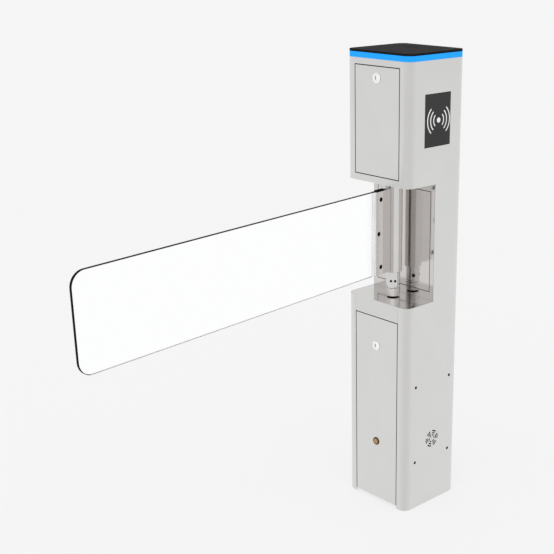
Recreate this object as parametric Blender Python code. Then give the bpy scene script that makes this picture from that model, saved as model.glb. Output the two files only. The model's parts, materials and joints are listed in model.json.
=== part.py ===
"""Swing barrier gate: a slim sheet steel post with a clear panel that swings on an upright shaft.

Metres, +Z up. The origin is the middle of the post's foot. The reader faces -Y, the service doors
face -X, and the closed panel reaches out towards -X.
"""

import math

import bmesh
import bpy
from mathutils import Matrix

MM = 0.001

# Common clearances and sheet
SEAT_GAP = 0.3 * MM
OVERRUN = 2.0 * MM
WELD_DISTANCE = 0.002 * MM
SHEET = 1.5 * MM
RECESS_PLATE = 2.0 * MM

# Post outline
POST_DEPTH = 167.5 * MM
POST_WIDTH = 180.0 * MM
CORNER_RADIUS = 18.5 * MM

# Levels above the floor
DOOR_FOOT = 6.4 * MM
LOWER_DOOR_TOP = 441.2 * MM
LEDGE_LEVEL = 478.5 * MM
RECESS_HEIGHT = 255.0 * MM
UPPER_SILL = 14.8 * MM
UPPER_DOOR_HEIGHT = 222.6 * MM
UPPER_HEAD = 13.5 * MM
BAND_HEIGHT = 11.2 * MM
LID_THICKNESS = 4.4 * MM

# Doors
DOOR_SIDE = 27.1 * MM
DOOR_GAP = 2.0 * MM
DOOR_TRAY = 8.0 * MM
TAB_WIDTH = 18.0 * MM
TAB_SPACING = 70.0 * MM
TAB_DROP = 5.0 * MM
UPPER_TAB_SETBACK = 1.8 * MM
LOWER_TAB_SETBACK = 16.5 * MM
STOP_GAP = 0.4 * MM
STOP_OVERLAP = 10.0 * MM
LOWER_STRIKE_OVERLAP = 42.0 * MM
FRAME_SIDE = 3.5 * MM

# Recess and gate axis
RECESS_DEPTH = 82.1 * MM
AXIS_TO_WALL = 31.0 * MM
COVER_SIDE = 11.2 * MM
COVER_LOW = 19.1 * MM
COVER_HIGH = 18.2 * MM
COVER_GAP = 1.2 * MM
COVER_LIP = 6.0 * MM
SHAFT_PASSAGE = 1.7 * MM

# Gate column, measured up from the ledge
REST_YAW = math.radians(5.4)
SHAFT_RADIUS = 10.0 * MM
COLLAR_RADIUS = 15.0 * MM
COLLAR_HEIGHT = 20.5 * MM
HUB_HEIGHT = 36.0 * MM
HUB_SCREW_HEIGHT = 37.0 * MM
HUB_SCREW_RADIUS = 2.9 * MM
HUB_SOCKET = 2.5 * MM
# Directions from the panel's own: a close pair in front and one towards the wall
HUB_SCREW_ANGLES = (math.radians(20), math.radians(55), math.radians(125))
SPIGOT_LENGTH = 25.0 * MM
TUBE_RADIUS = 18.75 * MM
TUBE_WALL = 1.75 * MM
TUBE_HEAD_GAP = 2.0 * MM
EDGE_BREAK = 0.8 * MM

# Panel and clamp, measured out from the gate axis
PANEL_REACH = 816.8 * MM
PANEL_ROOT = 30.0 * MM
PANEL_RAISE = 60.0 * MM
PANEL_HEAD_ROOM = 14.0 * MM
PANEL_THICKNESS = 6.0 * MM
PANEL_RADIUS = 28.0 * MM
PANEL_ROOT_RADIUS = 3.0 * MM
CLAMP_REACH = 68.0 * MM
CLAMP_MARGIN = 1.0 * MM
CHEEK_THICKNESS = 3.0 * MM
CHEEK_STRIP_START = 45.0 * MM
CHEEK_STEP = 0.6 * MM
GASKET_THICKNESS = 1.0 * MM
GASKET_REACH = 57.0 * MM
CLAMP_BOLT_RADIUS = 3.0 * MM
CLAMP_HEAD_RADIUS = 4.6 * MM
CLAMP_SOCKET_RADIUS = 2.0 * MM
CLAMP_SOCKET_DEPTH = 1.6 * MM
CLAMP_BOLT_REACH = 51.5 * MM
CLAMP_BOLT_STEP_OUT = 6.6 * MM
CLAMP_BOLT_SHARE = 0.401

# Bearings
BEARING_OUTER = 16.0 * MM
BEARING_HEIGHT = 7.0 * MM
INNER_RING_WALL = 2.2 * MM
COLUMN_BLOCK_HALF = 32.0 * MM

# Drive unit
DRIVE_PLATE = 8.0 * MM
DRIVE_PLATE_DEPTH = 140.0 * MM
DRIVE_PLATE_SIDE = 4.5 * MM
MOTOR_PLATE_INSET = 18.0 * MM
DRIVE_PLATE_SETBACK = 14.5 * MM
DRIVE_PLATE_CORNER = 6.0 * MM
PILLAR_HEIGHT = 40.0 * MM
PILLAR_RADIUS = 6.0 * MM
PILLAR_INSET = 12.0 * MM
BRACKET_LEG = 22.0 * MM
BRACKET_THICKNESS = 3.0 * MM

# Gears
GEAR_MODULE = 1.5 * MM
GEAR_TEETH = 48
PINION_TEETH = 16
PRESSURE_ANGLE = math.radians(20)
BACKLASH = 0.16 * MM
GEAR_CENTRE_PLAY = 0.1 * MM
TIP_HEIGHT_SHARE = 0.95
ROOT_DEPTH_SHARE = 1.25
GEAR_WIDTH = 12.0 * MM
GEAR_BOSS_RADIUS = 17.0 * MM
GEAR_BOSS_HEIGHT = 6.0 * MM
GEAR_WINDOW_RADIUS = 5.0 * MM
GEAR_WINDOWS = 6
GEAR_RIM = 3.0 * MM
FLANK_POINTS = 3
GEAR_LIFT = 10.0 * MM

# Limit disc and its two fork sensors
DISC_RADIUS = 30.0 * MM
DISC_THICKNESS = 1.5 * MM
DISC_LIFT = 12.0 * MM
DISC_NOTCH_WIDTH = 8.0 * MM
DISC_NOTCH_DEPTH = 8.0 * MM
FORK_WIDTH = 10.0 * MM
FORK_LENGTH = 14.0 * MM
FORK_BITE = 6.0 * MM
FORK_SLOT = 3.5 * MM
FORK_ARM = 3.0 * MM
FORK_BACK_GAP = 0.9 * MM

# Gearmotor
GEARBOX_RADIUS = 30.0 * MM
GEARBOX_HEIGHT = 58.0 * MM
MOTOR_RADIUS = 28.0 * MM
MOTOR_HEIGHT = 92.0 * MM
BRAKE_HEIGHT = 26.0 * MM
BRAKE_RADIUS = 24.0 * MM
PILOT_RADIUS = 14.0 * MM
PILOT_HEIGHT = 5.0 * MM
OUTPUT_RADIUS = 6.0 * MM
MOTOR_EDGE = 1.5 * MM

# Base plate
BASE_THICKNESS = 5.0 * MM
ANCHOR_RADIUS = 6.0 * MM
ANCHOR_EDGE_X = 27.75 * MM
ANCHOR_EDGE_Y = 23.0 * MM
BASE_SETBACK = 12.75 * MM
BASE_CORNER = 5.0 * MM
CABLE_HOLE_RADIUS = 22.0 * MM
CABLE_HOLE_X = 38.0 * MM
TAB_SLOT_PLAY = 1.2 * MM

# Light band and lid
BAND_WALL = 4.0 * MM
BAND_LIP = 6.0 * MM
BAND_LIP_WALL = 2.2 * MM
LED_BOARD = 1.6 * MM
LED_HEIGHT = 5.5 * MM
LID_RIM_DEPTH = 5.0 * MM
LID_RIM_WALL = 2.0 * MM
LID_EDGE = 0.8 * MM

# Reader on the -Y face
READER_X = 0.5 * MM
READER_RAISE = 131.7 * MM
READER_WIDTH = 77.0 * MM
READER_HEIGHT = 107.3 * MM
READER_GLASS = 3.0 * MM
READER_CASE_DEPTH = 16.0 * MM
READER_CASE_MARGIN = 4.0 * MM
READER_CORNER = 1.0 * MM

# Speaker grille: six fans of short arc slots
GRILLE_X = 2.0 * MM
GRILLE_Z = 155.0 * MM
GRILLE_FANS = 6
GRILLE_ROWS = 3
GRILLE_FIRST = 7.8 * MM
GRILLE_PITCH = 5.2 * MM
GRILLE_SLOT = 3.0 * MM
GRILLE_ARC = math.radians(40)
GRILLE_TURN = math.radians(5)
GRILLE_CENTRE = 1.2 * MM
SPEAKER_RADIUS = 25.0 * MM
SPEAKER_DEPTH = 20.0 * MM
SPEAKER_FLANGE = 2.0 * MM
SPEAKER_MAGNET = 14.0 * MM
SPEAKER_WALL = 1.2 * MM
CONE_DEPTH = 7.0 * MM
CONE_CROWN = 1.6 * MM
CONE_CAP = 7.0 * MM

# Equipment plate behind the four screws
SCREW_GROUP_X = 1.4 * MM
SCREW_GROUP_Z = 203.3 * MM
SCREW_SPACING_X = 107.6 * MM
SCREW_SPACING_Z = 180.4 * MM
SCREW_HEAD = 3.2 * MM
SCREW_SHANK = 1.8 * MM
SCREW_LENGTH = 12.0 * MM
SCREW_SOCKET = 1.3 * MM
STANDOFF_RADIUS = 5.0 * MM
STANDOFF_LENGTH = 25.0 * MM
EQUIPMENT_MARGIN = 10.0 * MM
SUPPLY_WIDTH = 100.0 * MM
SUPPLY_HEIGHT = 92.0 * MM
SUPPLY_DEPTH = 36.0 * MM
SUPPLY_LIFT = 28.0 * MM
SUPPLY_SLOTS = 7
SUPPLY_SLOT_WIDTH = 2.5 * MM
SUPPLY_SLOT_DEPTH = 1.0 * MM
TERMINAL_WIDTH = 88.0 * MM
TERMINAL_HEIGHT = 16.0 * MM
TERMINAL_DEPTH = 15.0 * MM
TERMINAL_LIFT = 160.0 * MM
TERMINAL_WAYS = 8
TERMINAL_GROOVE = 1.5 * MM
TERMINAL_GROOVE_DEPTH = 3.0 * MM

# Control board in the head
TRAY_SIDE = 22.5 * MM
TRAY_HEIGHT = 176.0 * MM
TRAY_DEPTH = 10.0 * MM
TRAY_RAISE = 118.5 * MM
BOARD_MARGIN = 8.0 * MM
BOARD_HEIGHT = 150.0 * MM
BOARD_THICKNESS = 1.6 * MM
BOARD_STAND = 6.0 * MM
BOARD_LEG_RADIUS = 3.0 * MM
BOARD_LEG_INSET = 7.0 * MM
RELAY_SIZE = 16.0 * MM
RELAY_PITCH = 24.0 * MM
RELAY_COUNT = 4
RELAY_DROP = 21.0 * MM
CAPACITOR_RADIUS = 8.0 * MM
CAPACITOR_HEIGHT = 18.0 * MM
CAPACITOR_DROP = 33.0 * MM
CONNECTOR_HEIGHT = 11.0 * MM
CONNECTOR_DEPTH = 12.0 * MM
CONNECTOR_INSET = 14.0 * MM
CHIP_SIZE = 22.0 * MM
CHIP_THICKNESS = 3.0 * MM

# Cam locks
UPPER_LOCK_DROP = 23.0 * MM
LOWER_LOCK_DROP = 65.2 * MM
LOCK_FACE_RADIUS = 10.5 * MM
LOCK_FACE = 2.0 * MM
LOCK_BARREL_RADIUS = 9.0 * MM
LOCK_BARREL_LENGTH = 10.6 * MM
LOCK_NUT_FLATS = 22.0 * MM
LOCK_NUT_HEIGHT = 4.0 * MM
PLUG_RADIUS = 6.0 * MM
PLUG_NOSE_RADIUS = 4.0 * MM
KEYWAY_WIDTH = 1.6 * MM
KEYWAY_HEIGHT = 7.0 * MM
KEYWAY_DEPTH = 4.0 * MM
CAM_THICKNESS = 2.0 * MM
CAM_LENGTH = 32.0 * MM
CAM_HALF_WIDTH = 7.0 * MM
CAM_TIP_HALF_WIDTH = 5.0 * MM

# Infrared sensor on the lower door
SENSOR_Z = 147.0 * MM
SENSOR_FACE_RADIUS = 9.0 * MM
SENSOR_FACE = 1.5 * MM
SENSOR_BARREL_RADIUS = 7.5 * MM
SENSOR_BARREL_LENGTH = 24.0 * MM
SENSOR_LENS_RADIUS = 6.0 * MM
SENSOR_LENS_DEPTH = 2.0 * MM
SENSOR_LENS_CROWN = 0.8 * MM

# Facets
TUBE_STEPS = 32
ROUND_STEPS = 20
SMALL_STEPS = 12
PANEL_CORNER_STEPS = 8
CORNER_STEPS = 6
COARSE_STEPS = 2
SLOT_STEPS = 3
NUT_SIDES = 6
SHARP_ANGLE = math.radians(35)

# Places worked out from the sizes above
FRONT_X = -POST_DEPTH / 2
INNER_FRONT_X = FRONT_X + SHEET
HALF_WIDTH = POST_WIDTH / 2
INNER_HALF_WIDTH = HALF_WIDTH - SHEET
DOOR_HALF_WIDTH = HALF_WIDTH - DOOR_SIDE
COVER_HALF_WIDTH = INNER_HALF_WIDTH - COVER_SIDE
DRIVE_PLATE_WIDTH = 2 * (INNER_HALF_WIDTH - DRIVE_PLATE_SIDE)
MOTOR_PLATE_WIDTH = DRIVE_PLATE_WIDTH - 2 * MOTOR_PLATE_INSET
ANCHOR_SPACING_X = POST_DEPTH - 2 * ANCHOR_EDGE_X
ANCHOR_SPACING_Y = POST_WIDTH - 2 * ANCHOR_EDGE_Y
TRAY_WIDTH = 2 * (INNER_HALF_WIDTH - TRAY_SIDE)
BOARD_WIDTH = TRAY_WIDTH - 2 * BOARD_MARGIN
WALL_X = FRONT_X + RECESS_DEPTH
AXIS_X = WALL_X - AXIS_TO_WALL
RECESS_TOP = LEDGE_LEVEL + RECESS_HEIGHT
READER_Z = RECESS_TOP + READER_RAISE
TRAY_Z = RECESS_TOP + TRAY_RAISE
UPPER_DOOR_FOOT = RECESS_TOP + UPPER_SILL
UPPER_DOOR_TOP = UPPER_DOOR_FOOT + UPPER_DOOR_HEIGHT
SHELL_TOP = UPPER_DOOR_TOP + UPPER_HEAD
BAND_TOP = SHELL_TOP + BAND_HEIGHT
POST_TOP = BAND_TOP + LID_THICKNESS
OPENING_HALF_WIDTH = DOOR_HALF_WIDTH + DOOR_GAP / 2
HUB_FOOT = LEDGE_LEVEL + COLLAR_HEIGHT
TUBE_FOOT = HUB_FOOT + HUB_HEIGHT
TUBE_TOP = RECESS_TOP - TUBE_HEAD_GAP
PANEL_FOOT = LEDGE_LEVEL + PANEL_RAISE
PANEL_HEIGHT = RECESS_HEIGHT - PANEL_RAISE - PANEL_HEAD_ROOM
CLAMP_BOLT_SPACING = PANEL_HEIGHT * CLAMP_BOLT_SHARE
BEARING_PLATE_TOP = LEDGE_LEVEL - RECESS_PLATE - SEAT_GAP
BEARING_PLATE_FOOT = BEARING_PLATE_TOP - DRIVE_PLATE
MOTOR_PLATE_TOP = BEARING_PLATE_FOOT - PILLAR_HEIGHT
MOTOR_PLATE_FOOT = MOTOR_PLATE_TOP - DRIVE_PLATE
GEAR_FOOT = MOTOR_PLATE_TOP + GEAR_LIFT
GEAR_TOP = GEAR_FOOT + GEAR_WIDTH
GEAR_CENTRES = GEAR_MODULE * (GEAR_TEETH + PINION_TEETH) / 2 + GEAR_CENTRE_PLAY
PINION_X = AXIS_X + GEAR_CENTRES
FRAME_FACE_X = FRONT_X + DOOR_TRAY + STOP_GAP
FRAME_BACK_X = FRAME_FACE_X + SHEET
UPPER_LOCK_Z = UPPER_DOOR_TOP - UPPER_LOCK_DROP
LOWER_LOCK_Z = LOWER_DOOR_TOP - LOWER_LOCK_DROP
EQUIPMENT_Y = -INNER_HALF_WIDTH + SEAT_GAP + STANDOFF_LENGTH

INNER_RING_RADIUS = SHAFT_RADIUS + INNER_RING_WALL
BEARING_MARGIN = (DRIVE_PLATE - BEARING_HEIGHT) / 2
UPPER_BEARING_FOOT = BEARING_PLATE_FOOT + BEARING_MARGIN
LOWER_BEARING_FOOT = MOTOR_PLATE_FOOT + BEARING_MARGIN
COLUMN_BLOCK_FOOT = RECESS_TOP + RECESS_PLATE + SEAT_GAP
COLUMN_BEARING_FOOT = COLUMN_BLOCK_FOOT + BEARING_MARGIN

# A drawing plane with its thickness along X or along Y
ACROSS_X = Matrix(((0, 0, 1, 0), (1, 0, 0, 0), (0, 1, 0, 0), (0, 0, 0, 1)))
ACROSS_Y = Matrix(((1, 0, 0, 0), (0, 0, 1, 0), (0, 1, 0, 0), (0, 0, 0, 1)))

# Colour, metallic value and roughness of each finish
FINISHES = {
    "satin_steel": ((0.62, 0.62, 0.61), 0.9, 0.38),
    "polished_steel": ((0.72, 0.71, 0.7), 1.0, 0.08),
    "plain_steel": ((0.45, 0.46, 0.47), 1.0, 0.45),
    "charcoal_lid": ((0.035, 0.035, 0.035), 0.0, 0.5),
    "blue_diffuser": ((0.02, 0.36, 1.0), 0.0, 0.3),
    "clear_acrylic": ((0.95, 0.97, 0.98), 0.0, 0.05),
    "black_glass": ((0.04, 0.04, 0.04), 0.0, 0.2),
    "black_plastic": ((0.02, 0.02, 0.02), 0.0, 0.5),
    "black_steel": ((0.02, 0.02, 0.022), 0.8, 0.4),
    "nickel": ((0.85, 0.85, 0.84), 1.0, 0.15),
    "rubber": ((0.012, 0.012, 0.012), 0.0, 0.8),
    "circuit_green": ((0.02, 0.16, 0.07), 0.0, 0.45),
    "terminal_green": ((0.05, 0.35, 0.12), 0.0, 0.5),
    "motor_grey": ((0.12, 0.125, 0.13), 0.6, 0.45),
    "amber_lens": ((0.75, 0.32, 0.05), 0.0, 0.15),
    "bronze_ring": ((0.3, 0.16, 0.06), 0.7, 0.35),
    "cone_paper": ((0.05, 0.05, 0.052), 0.0, 0.85),
    "aluminium": ((0.6, 0.61, 0.62), 1.0, 0.35),
}


def clear_scene():
    """Empties the scene of what it starts with."""
    for obj in list(bpy.data.objects):
        bpy.data.objects.remove(obj, do_unlink=True)


def material(finish):
    """The finish's material, made on first use."""
    found = bpy.data.materials.get(finish)
    if found:
        return found
    colour, metallic, roughness = FINISHES[finish]
    made = bpy.data.materials.new(finish)
    made.use_nodes = True
    shader = made.node_tree.nodes["Principled BSDF"]
    shader.inputs["Base Color"].default_value = (*colour, 1)
    shader.inputs["Metallic"].default_value = metallic
    shader.inputs["Roughness"].default_value = roughness
    return made


def to_mesh(name, bm):
    """Turns a bmesh into a mesh with its faces outward and its round sides smooth."""
    bmesh.ops.recalc_face_normals(bm, faces=bm.faces)
    mesh = bpy.data.meshes.new(name)
    bm.to_mesh(mesh)
    bm.free()
    mesh.shade_smooth()
    mesh.set_sharp_from_angle(angle=SHARP_ANGLE)
    return mesh


def add_piece(name, bm, finish, at=(0, 0, 0), turn=(0, 0, 0), parent=None):
    """Adds a named piece at its place."""
    piece = bpy.data.objects.new(name, to_mesh(name, bm))
    piece.data.materials.append(material(finish))
    piece.location = at
    piece.rotation_euler = turn
    piece.parent = parent
    bpy.context.scene.collection.objects.link(piece)
    return piece


def add_axis(name, at, turn=(0, 0, 0), parent=None):
    """Adds an empty that carries what turns about one joint."""
    axis = bpy.data.objects.new(name, None)
    axis.location = at
    axis.rotation_euler = turn
    axis.parent = parent
    bpy.context.scene.collection.objects.link(axis)
    return axis


def trim(piece, bm, operation="DIFFERENCE"):
    """Cuts a shape out of a piece, or joins it on, in the piece's own coordinates."""
    name = f"{piece.name}_{operation.lower()}_{len(piece.modifiers)}"
    tool = bpy.data.objects.new(name, to_mesh(name, bm))
    tool.parent = piece
    tool.hide_render = True
    tool.display_type = "WIRE"
    bpy.context.scene.collection.objects.link(tool)
    modifier = piece.modifiers.new(name, "BOOLEAN")
    modifier.operation = operation
    modifier.solver = "EXACT"
    modifier.object = tool
    return piece


def merged(*parts):
    """One bmesh holding several separate bodies."""
    whole = bmesh.new()
    for part in parts:
        mesh = bpy.data.meshes.new("merged")
        part.to_mesh(mesh)
        part.free()
        whole.from_mesh(mesh)
        bpy.data.meshes.remove(mesh)
    return whole


def moved(bm, by=(0, 0, 0), turn=None):
    """The same bmesh, turned by a matrix and then moved."""
    if turn is not None:
        bmesh.ops.transform(bm, matrix=turn, verts=bm.verts)
    bmesh.ops.translate(bm, vec=by, verts=bm.verts)
    return bm


def box(low, high):
    """A block between two corners."""
    bm = bmesh.new()
    bmesh.ops.create_cube(bm, size=1)
    size = [b - a for a, b in zip(low, high)]
    middle = [(a + b) / 2 for a, b in zip(low, high)]
    bmesh.ops.scale(bm, vec=size, verts=bm.verts)
    return moved(bm, middle)


def arc(centre, radius, start, end, steps):
    """Points along an arc, both ends included."""
    turns = [start + (end - start) * i / steps for i in range(steps + 1)]
    return [(centre[0] + radius * math.cos(t), centre[1] + radius * math.sin(t)) for t in turns]


def circle(radius, centre=(0, 0), steps=SMALL_STEPS):
    """The points of a circle."""
    return arc(centre, radius, 0, 2 * math.pi, steps)[:-1]


def rounded_rectangle(low, high, radii, steps=CORNER_STEPS):
    """A rectangle with its own radius at each corner, from the high x, high y corner round."""
    corners = (
        (high[0] - radii[0], high[1] - radii[0], radii[0], 0),
        (low[0] + radii[1], high[1] - radii[1], radii[1], 1),
        (low[0] + radii[2], low[1] + radii[2], radii[2], 2),
        (high[0] - radii[3], low[1] + radii[3], radii[3], 3),
    )
    points = []
    for x, y, radius, quarter in corners:
        start = quarter * math.pi / 2
        if radius > 0:
            points += arc((x, y), radius, start, start + math.pi / 2, steps)
        else:
            points.append((x, y))
    return points


def post_outline(inset):
    """The post's outline, drawn in from the outside by an inset."""
    radius = CORNER_RADIUS - inset
    return rounded_rectangle(
        (FRONT_X + inset, -HALF_WIDTH + inset),
        (-FRONT_X - inset, HALF_WIDTH - inset),
        (radius,) * 4,
    )


def slab(outline, low, high, holes=()):
    """An outline with holes, given a thickness along Z."""
    bm = bmesh.new()
    for loop in (outline, *holes):
        verts = [bm.verts.new((x, y, low)) for x, y in loop]
        for a, b in zip(verts, verts[1:] + verts[:1]):
            bm.edges.new((a, b))
    bmesh.ops.triangle_fill(bm, use_beauty=True, use_dissolve=False, edges=bm.edges[:])
    grown = bmesh.ops.extrude_face_region(bm, geom=bm.faces[:], use_keep_orig=True)
    top = [item for item in grown["geom"] if isinstance(item, bmesh.types.BMVert)]
    bmesh.ops.translate(bm, vec=(0, 0, high - low), verts=top)
    return bm


def turned(profile, steps=ROUND_STEPS, ring=False):
    """A profile of (radius, height) spun about Z. A ring's profile closes on itself."""
    bm = bmesh.new()
    verts = [bm.verts.new((radius, 0, height)) for radius, height in profile]
    edges = [bm.edges.new(pair) for pair in zip(verts, verts[1:])]
    if ring:
        edges.append(bm.edges.new((verts[-1], verts[0])))
    bmesh.ops.spin(
        bm,
        geom=verts + edges,
        cent=(0, 0, 0),
        axis=(0, 0, 1),
        dvec=(0, 0, 0),
        angle=2 * math.pi,
        steps=steps,
        use_merge=True,
        use_duplicate=False,
    )
    bmesh.ops.remove_doubles(bm, verts=bm.verts, dist=WELD_DISTANCE)
    return bm


def tube(outer, inner, low, high, steps=ROUND_STEPS):
    """A plain tube along Z."""
    return turned([(outer, low), (outer, high), (inner, high), (inner, low)], steps, ring=True)


def rod(radius, low, high, steps=SMALL_STEPS):
    """A plain rod along Z."""
    return turned([(0, low), (radius, low), (radius, high), (0, high)], steps)


def lofted(profile, closed):
    """Post outlines at each (inset, height), skinned in order. A closed one is a ring."""
    bm = bmesh.new()
    loops = []
    for inset, height in profile:
        loops.append([bm.verts.new((x, y, height)) for x, y in post_outline(inset)])
    pairs = list(zip(loops, loops[1:]))
    if closed:
        pairs.append((loops[-1], loops[0]))
    else:
        bm.faces.new(loops[0])
        bm.faces.new(loops[-1])
    for one, two in pairs:
        for i in range(len(one)):
            j = (i + 1) % len(one)
            bm.faces.new((one[i], one[j], two[j], two[i]))
    return bm


def tray(low, high, wall, open_face):
    """A box hollowed from one face, which keeps a wall's thickness elsewhere."""
    bm = box(low, high)
    face = max(bm.faces, key=lambda f: f.calc_center_median().dot(open_face))
    bmesh.ops.inset_region(bm, faces=[face], thickness=wall, use_even_offset=True)
    axis = max(range(3), key=lambda i: abs(open_face[i]))
    depth = high[axis] - low[axis] - wall
    grown = bmesh.ops.extrude_face_region(bm, geom=[face])
    floor = [item for item in grown["geom"] if isinstance(item, bmesh.types.BMVert)]
    bmesh.ops.translate(bm, vec=[-part * depth for part in open_face], verts=floor)
    bmesh.ops.delete(bm, geom=[face], context="FACES_ONLY")
    return bm


def gear_outline(teeth):
    """A spur gear's outline: involute flanks, with the first tooth centred on +X."""
    pitch = GEAR_MODULE * teeth / 2
    base = pitch * math.cos(PRESSURE_ANGLE)
    tip = pitch + GEAR_MODULE * TIP_HEIGHT_SHARE
    root = pitch - GEAR_MODULE * ROOT_DEPTH_SHARE

    def roll(radius):
        angle = math.acos(min(1, base / radius))
        return math.tan(angle) - angle

    half_at_pitch = math.pi / (2 * teeth) - BACKLASH / (2 * pitch)
    start = max(base, root)
    radii = [start + (tip - start) * i / (FLANK_POINTS - 1) for i in range(FLANK_POINTS)]
    flank = [(radius, half_at_pitch + roll(pitch) - roll(radius)) for radius in radii]
    if root < base:
        flank.insert(0, (root, flank[0][1]))
    points = []
    for tooth in range(teeth):
        middle = 2 * math.pi * tooth / teeth
        for radius, half in flank:
            points.append((radius * math.cos(middle - half), radius * math.sin(middle - half)))
        for radius, half in reversed(flank):
            points.append((radius * math.cos(middle + half), radius * math.sin(middle + half)))
    return points


def group_of_screws(spacing_x, spacing_z):
    """The four places of a rectangular group."""
    return [(sx * spacing_x / 2, sz * spacing_z / 2) for sx in (-1, 1) for sz in (-1, 1)]


def grille_slots(thickness):
    """The speaker grille's slots as cutters along Z, about the grille's centre."""
    slots = [rod(GRILLE_CENTRE, -thickness, thickness)]
    for fan in range(GRILLE_FANS):
        middle = GRILLE_TURN + 2 * math.pi * fan / GRILLE_FANS
        for row in range(GRILLE_ROWS):
            radius = GRILLE_FIRST + row * GRILLE_PITCH
            low = middle - GRILLE_ARC / 2
            high = middle + GRILLE_ARC / 2
            outer = arc((0, 0), radius + GRILLE_SLOT / 2, low, high, SLOT_STEPS)
            inner = arc((0, 0), radius - GRILLE_SLOT / 2, high, low, SLOT_STEPS)
            slots.append(slab(outer + inner, -thickness, thickness))
    return merged(*slots)


def housing():
    """The folded shell, and the base plate it is welded to."""
    shell = add_piece(
        "housing_shell",
        lofted([(0, 0), (0, SHELL_TOP), (SHEET, SHELL_TOP), (SHEET, 0)], closed=True),
        "satin_steel",
    )
    reach = INNER_FRONT_X + CORNER_RADIUS
    start = FRONT_X - OVERRUN
    half = OPENING_HALF_WIDTH
    trim(shell, box((start, -POST_WIDTH, LEDGE_LEVEL), (WALL_X, POST_WIDTH, RECESS_TOP)))
    trim(shell, box((start, -half, -OVERRUN), (reach, half, LEDGE_LEVEL + OVERRUN)))
    upper_foot = UPPER_DOOR_FOOT - DOOR_GAP / 2
    upper_head = UPPER_DOOR_TOP + DOOR_GAP / 2
    trim(shell, box((start, -half, upper_foot), (reach, half, upper_head)))
    trim(
        shell,
        box(
            (READER_X - READER_WIDTH / 2, -HALF_WIDTH - OVERRUN, READER_Z - READER_HEIGHT / 2),
            (READER_X + READER_WIDTH / 2, -INNER_HALF_WIDTH + OVERRUN, READER_Z + READER_HEIGHT / 2),
        ),
    )
    holes = [
        moved(rod(SCREW_HEAD + SEAT_GAP, -OVERRUN, OVERRUN), (x, z, 0))
        for x, z in group_of_screws(SCREW_SPACING_X, SCREW_SPACING_Z)
    ]
    face_y = -HALF_WIDTH + SHEET / 2
    trim(shell, moved(merged(*holes), (SCREW_GROUP_X, face_y, SCREW_GROUP_Z), ACROSS_Y))
    trim(shell, moved(grille_slots(OVERRUN), (GRILLE_X, face_y, GRILLE_Z), ACROSS_Y))

    anchors = [
        circle(ANCHOR_RADIUS, (sx * ANCHOR_SPACING_X / 2, sy * ANCHOR_SPACING_Y / 2))
        for sx in (-1, 1)
        for sy in (-1, 1)
    ]
    slot_x = FRONT_X + LOWER_TAB_SETBACK
    slot_half = TAB_WIDTH / 2 + TAB_SLOT_PLAY
    slots = [
        rounded_rectangle(
            (slot_x - TAB_SLOT_PLAY, side * TAB_SPACING / 2 - slot_half),
            (slot_x + SHEET + TAB_SLOT_PLAY, side * TAB_SPACING / 2 + slot_half),
            (0,) * 4,
        )
        for side in (-1, 1)
    ]
    cable = circle(CABLE_HOLE_RADIUS, (CABLE_HOLE_X, 0), ROUND_STEPS)
    inset = SHEET + SEAT_GAP
    radius = CORNER_RADIUS - inset
    outline = rounded_rectangle(
        (FRONT_X + BASE_SETBACK, -HALF_WIDTH + inset),
        (-FRONT_X - inset, HALF_WIDTH - inset),
        (radius, BASE_CORNER, BASE_CORNER, radius),
    )
    add_piece("base_plate", slab(outline, 0, BASE_THICKNESS, [*anchors, *slots, cable]), "plain_steel")


def recess():
    """The floor, wall and ceiling that line the notch. The wall's flush cover rests on a lip."""
    inset = SHEET + SEAT_GAP
    radius = CORNER_RADIUS - inset
    low = (FRONT_X + inset, -HALF_WIDTH + inset)
    high = (WALL_X - SEAT_GAP, HALF_WIDTH - inset)
    outline = rounded_rectangle(low, high, (0, radius, radius, 0))
    passage = circle(SHAFT_RADIUS + SHAFT_PASSAGE, (AXIS_X, 0), ROUND_STEPS)
    ledge = add_piece(
        "ledge_plate",
        slab(outline, LEDGE_LEVEL - RECESS_PLATE, LEDGE_LEVEL, [passage]),
        "polished_steel",
    )
    apron_half = OPENING_HALF_WIDTH - SEAT_GAP
    apron_foot = LOWER_DOOR_TOP + DOOR_GAP / 2
    trim(
        ledge,
        box((FRONT_X, -apron_half, apron_foot), (FRONT_X + RECESS_PLATE, apron_half, LEDGE_LEVEL)),
        "UNION",
    )
    ceiling = slab(outline, RECESS_TOP, RECESS_TOP + RECESS_PLATE, [passage])
    add_piece("recess_ceiling", ceiling, "satin_steel")

    wall_foot = LEDGE_LEVEL - RECESS_PLATE
    wall_head = RECESS_TOP + RECESS_PLATE
    side = HALF_WIDTH - inset
    half_gap = COVER_GAP / 2
    half_width = COVER_HALF_WIDTH + half_gap
    foot = LEDGE_LEVEL + COVER_LOW - half_gap
    top = RECESS_TOP - COVER_HIGH + half_gap
    seat_x = WALL_X + SHEET + SEAT_GAP
    lip_x = seat_x + SHEET
    wall = box((WALL_X, -side, wall_foot), (WALL_X + SHEET, side, wall_head))
    wall = add_piece("recess_back_wall", wall, "polished_steel")
    rim_low = (WALL_X + SHEET / 2, -half_width - COVER_LIP, foot - COVER_LIP)
    rim_high = (lip_x, half_width + COVER_LIP, top + COVER_LIP)
    trim(wall, box(rim_low, rim_high), "UNION")
    trim(wall, box((WALL_X - OVERRUN, -half_width, foot), (seat_x, half_width, top)))
    hole_low = (WALL_X, -half_width + COVER_LIP, foot + COVER_LIP)
    hole_high = (lip_x + OVERRUN, half_width - COVER_LIP, top - COVER_LIP)
    trim(wall, box(hole_low, hole_high))
    cover_low = (WALL_X, COVER_GAP - half_width, foot + COVER_GAP)
    cover_high = (WALL_X + SHEET, half_width - COVER_GAP, top - COVER_GAP)
    add_piece("recess_cover", box(cover_low, cover_high), "polished_steel")


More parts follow.
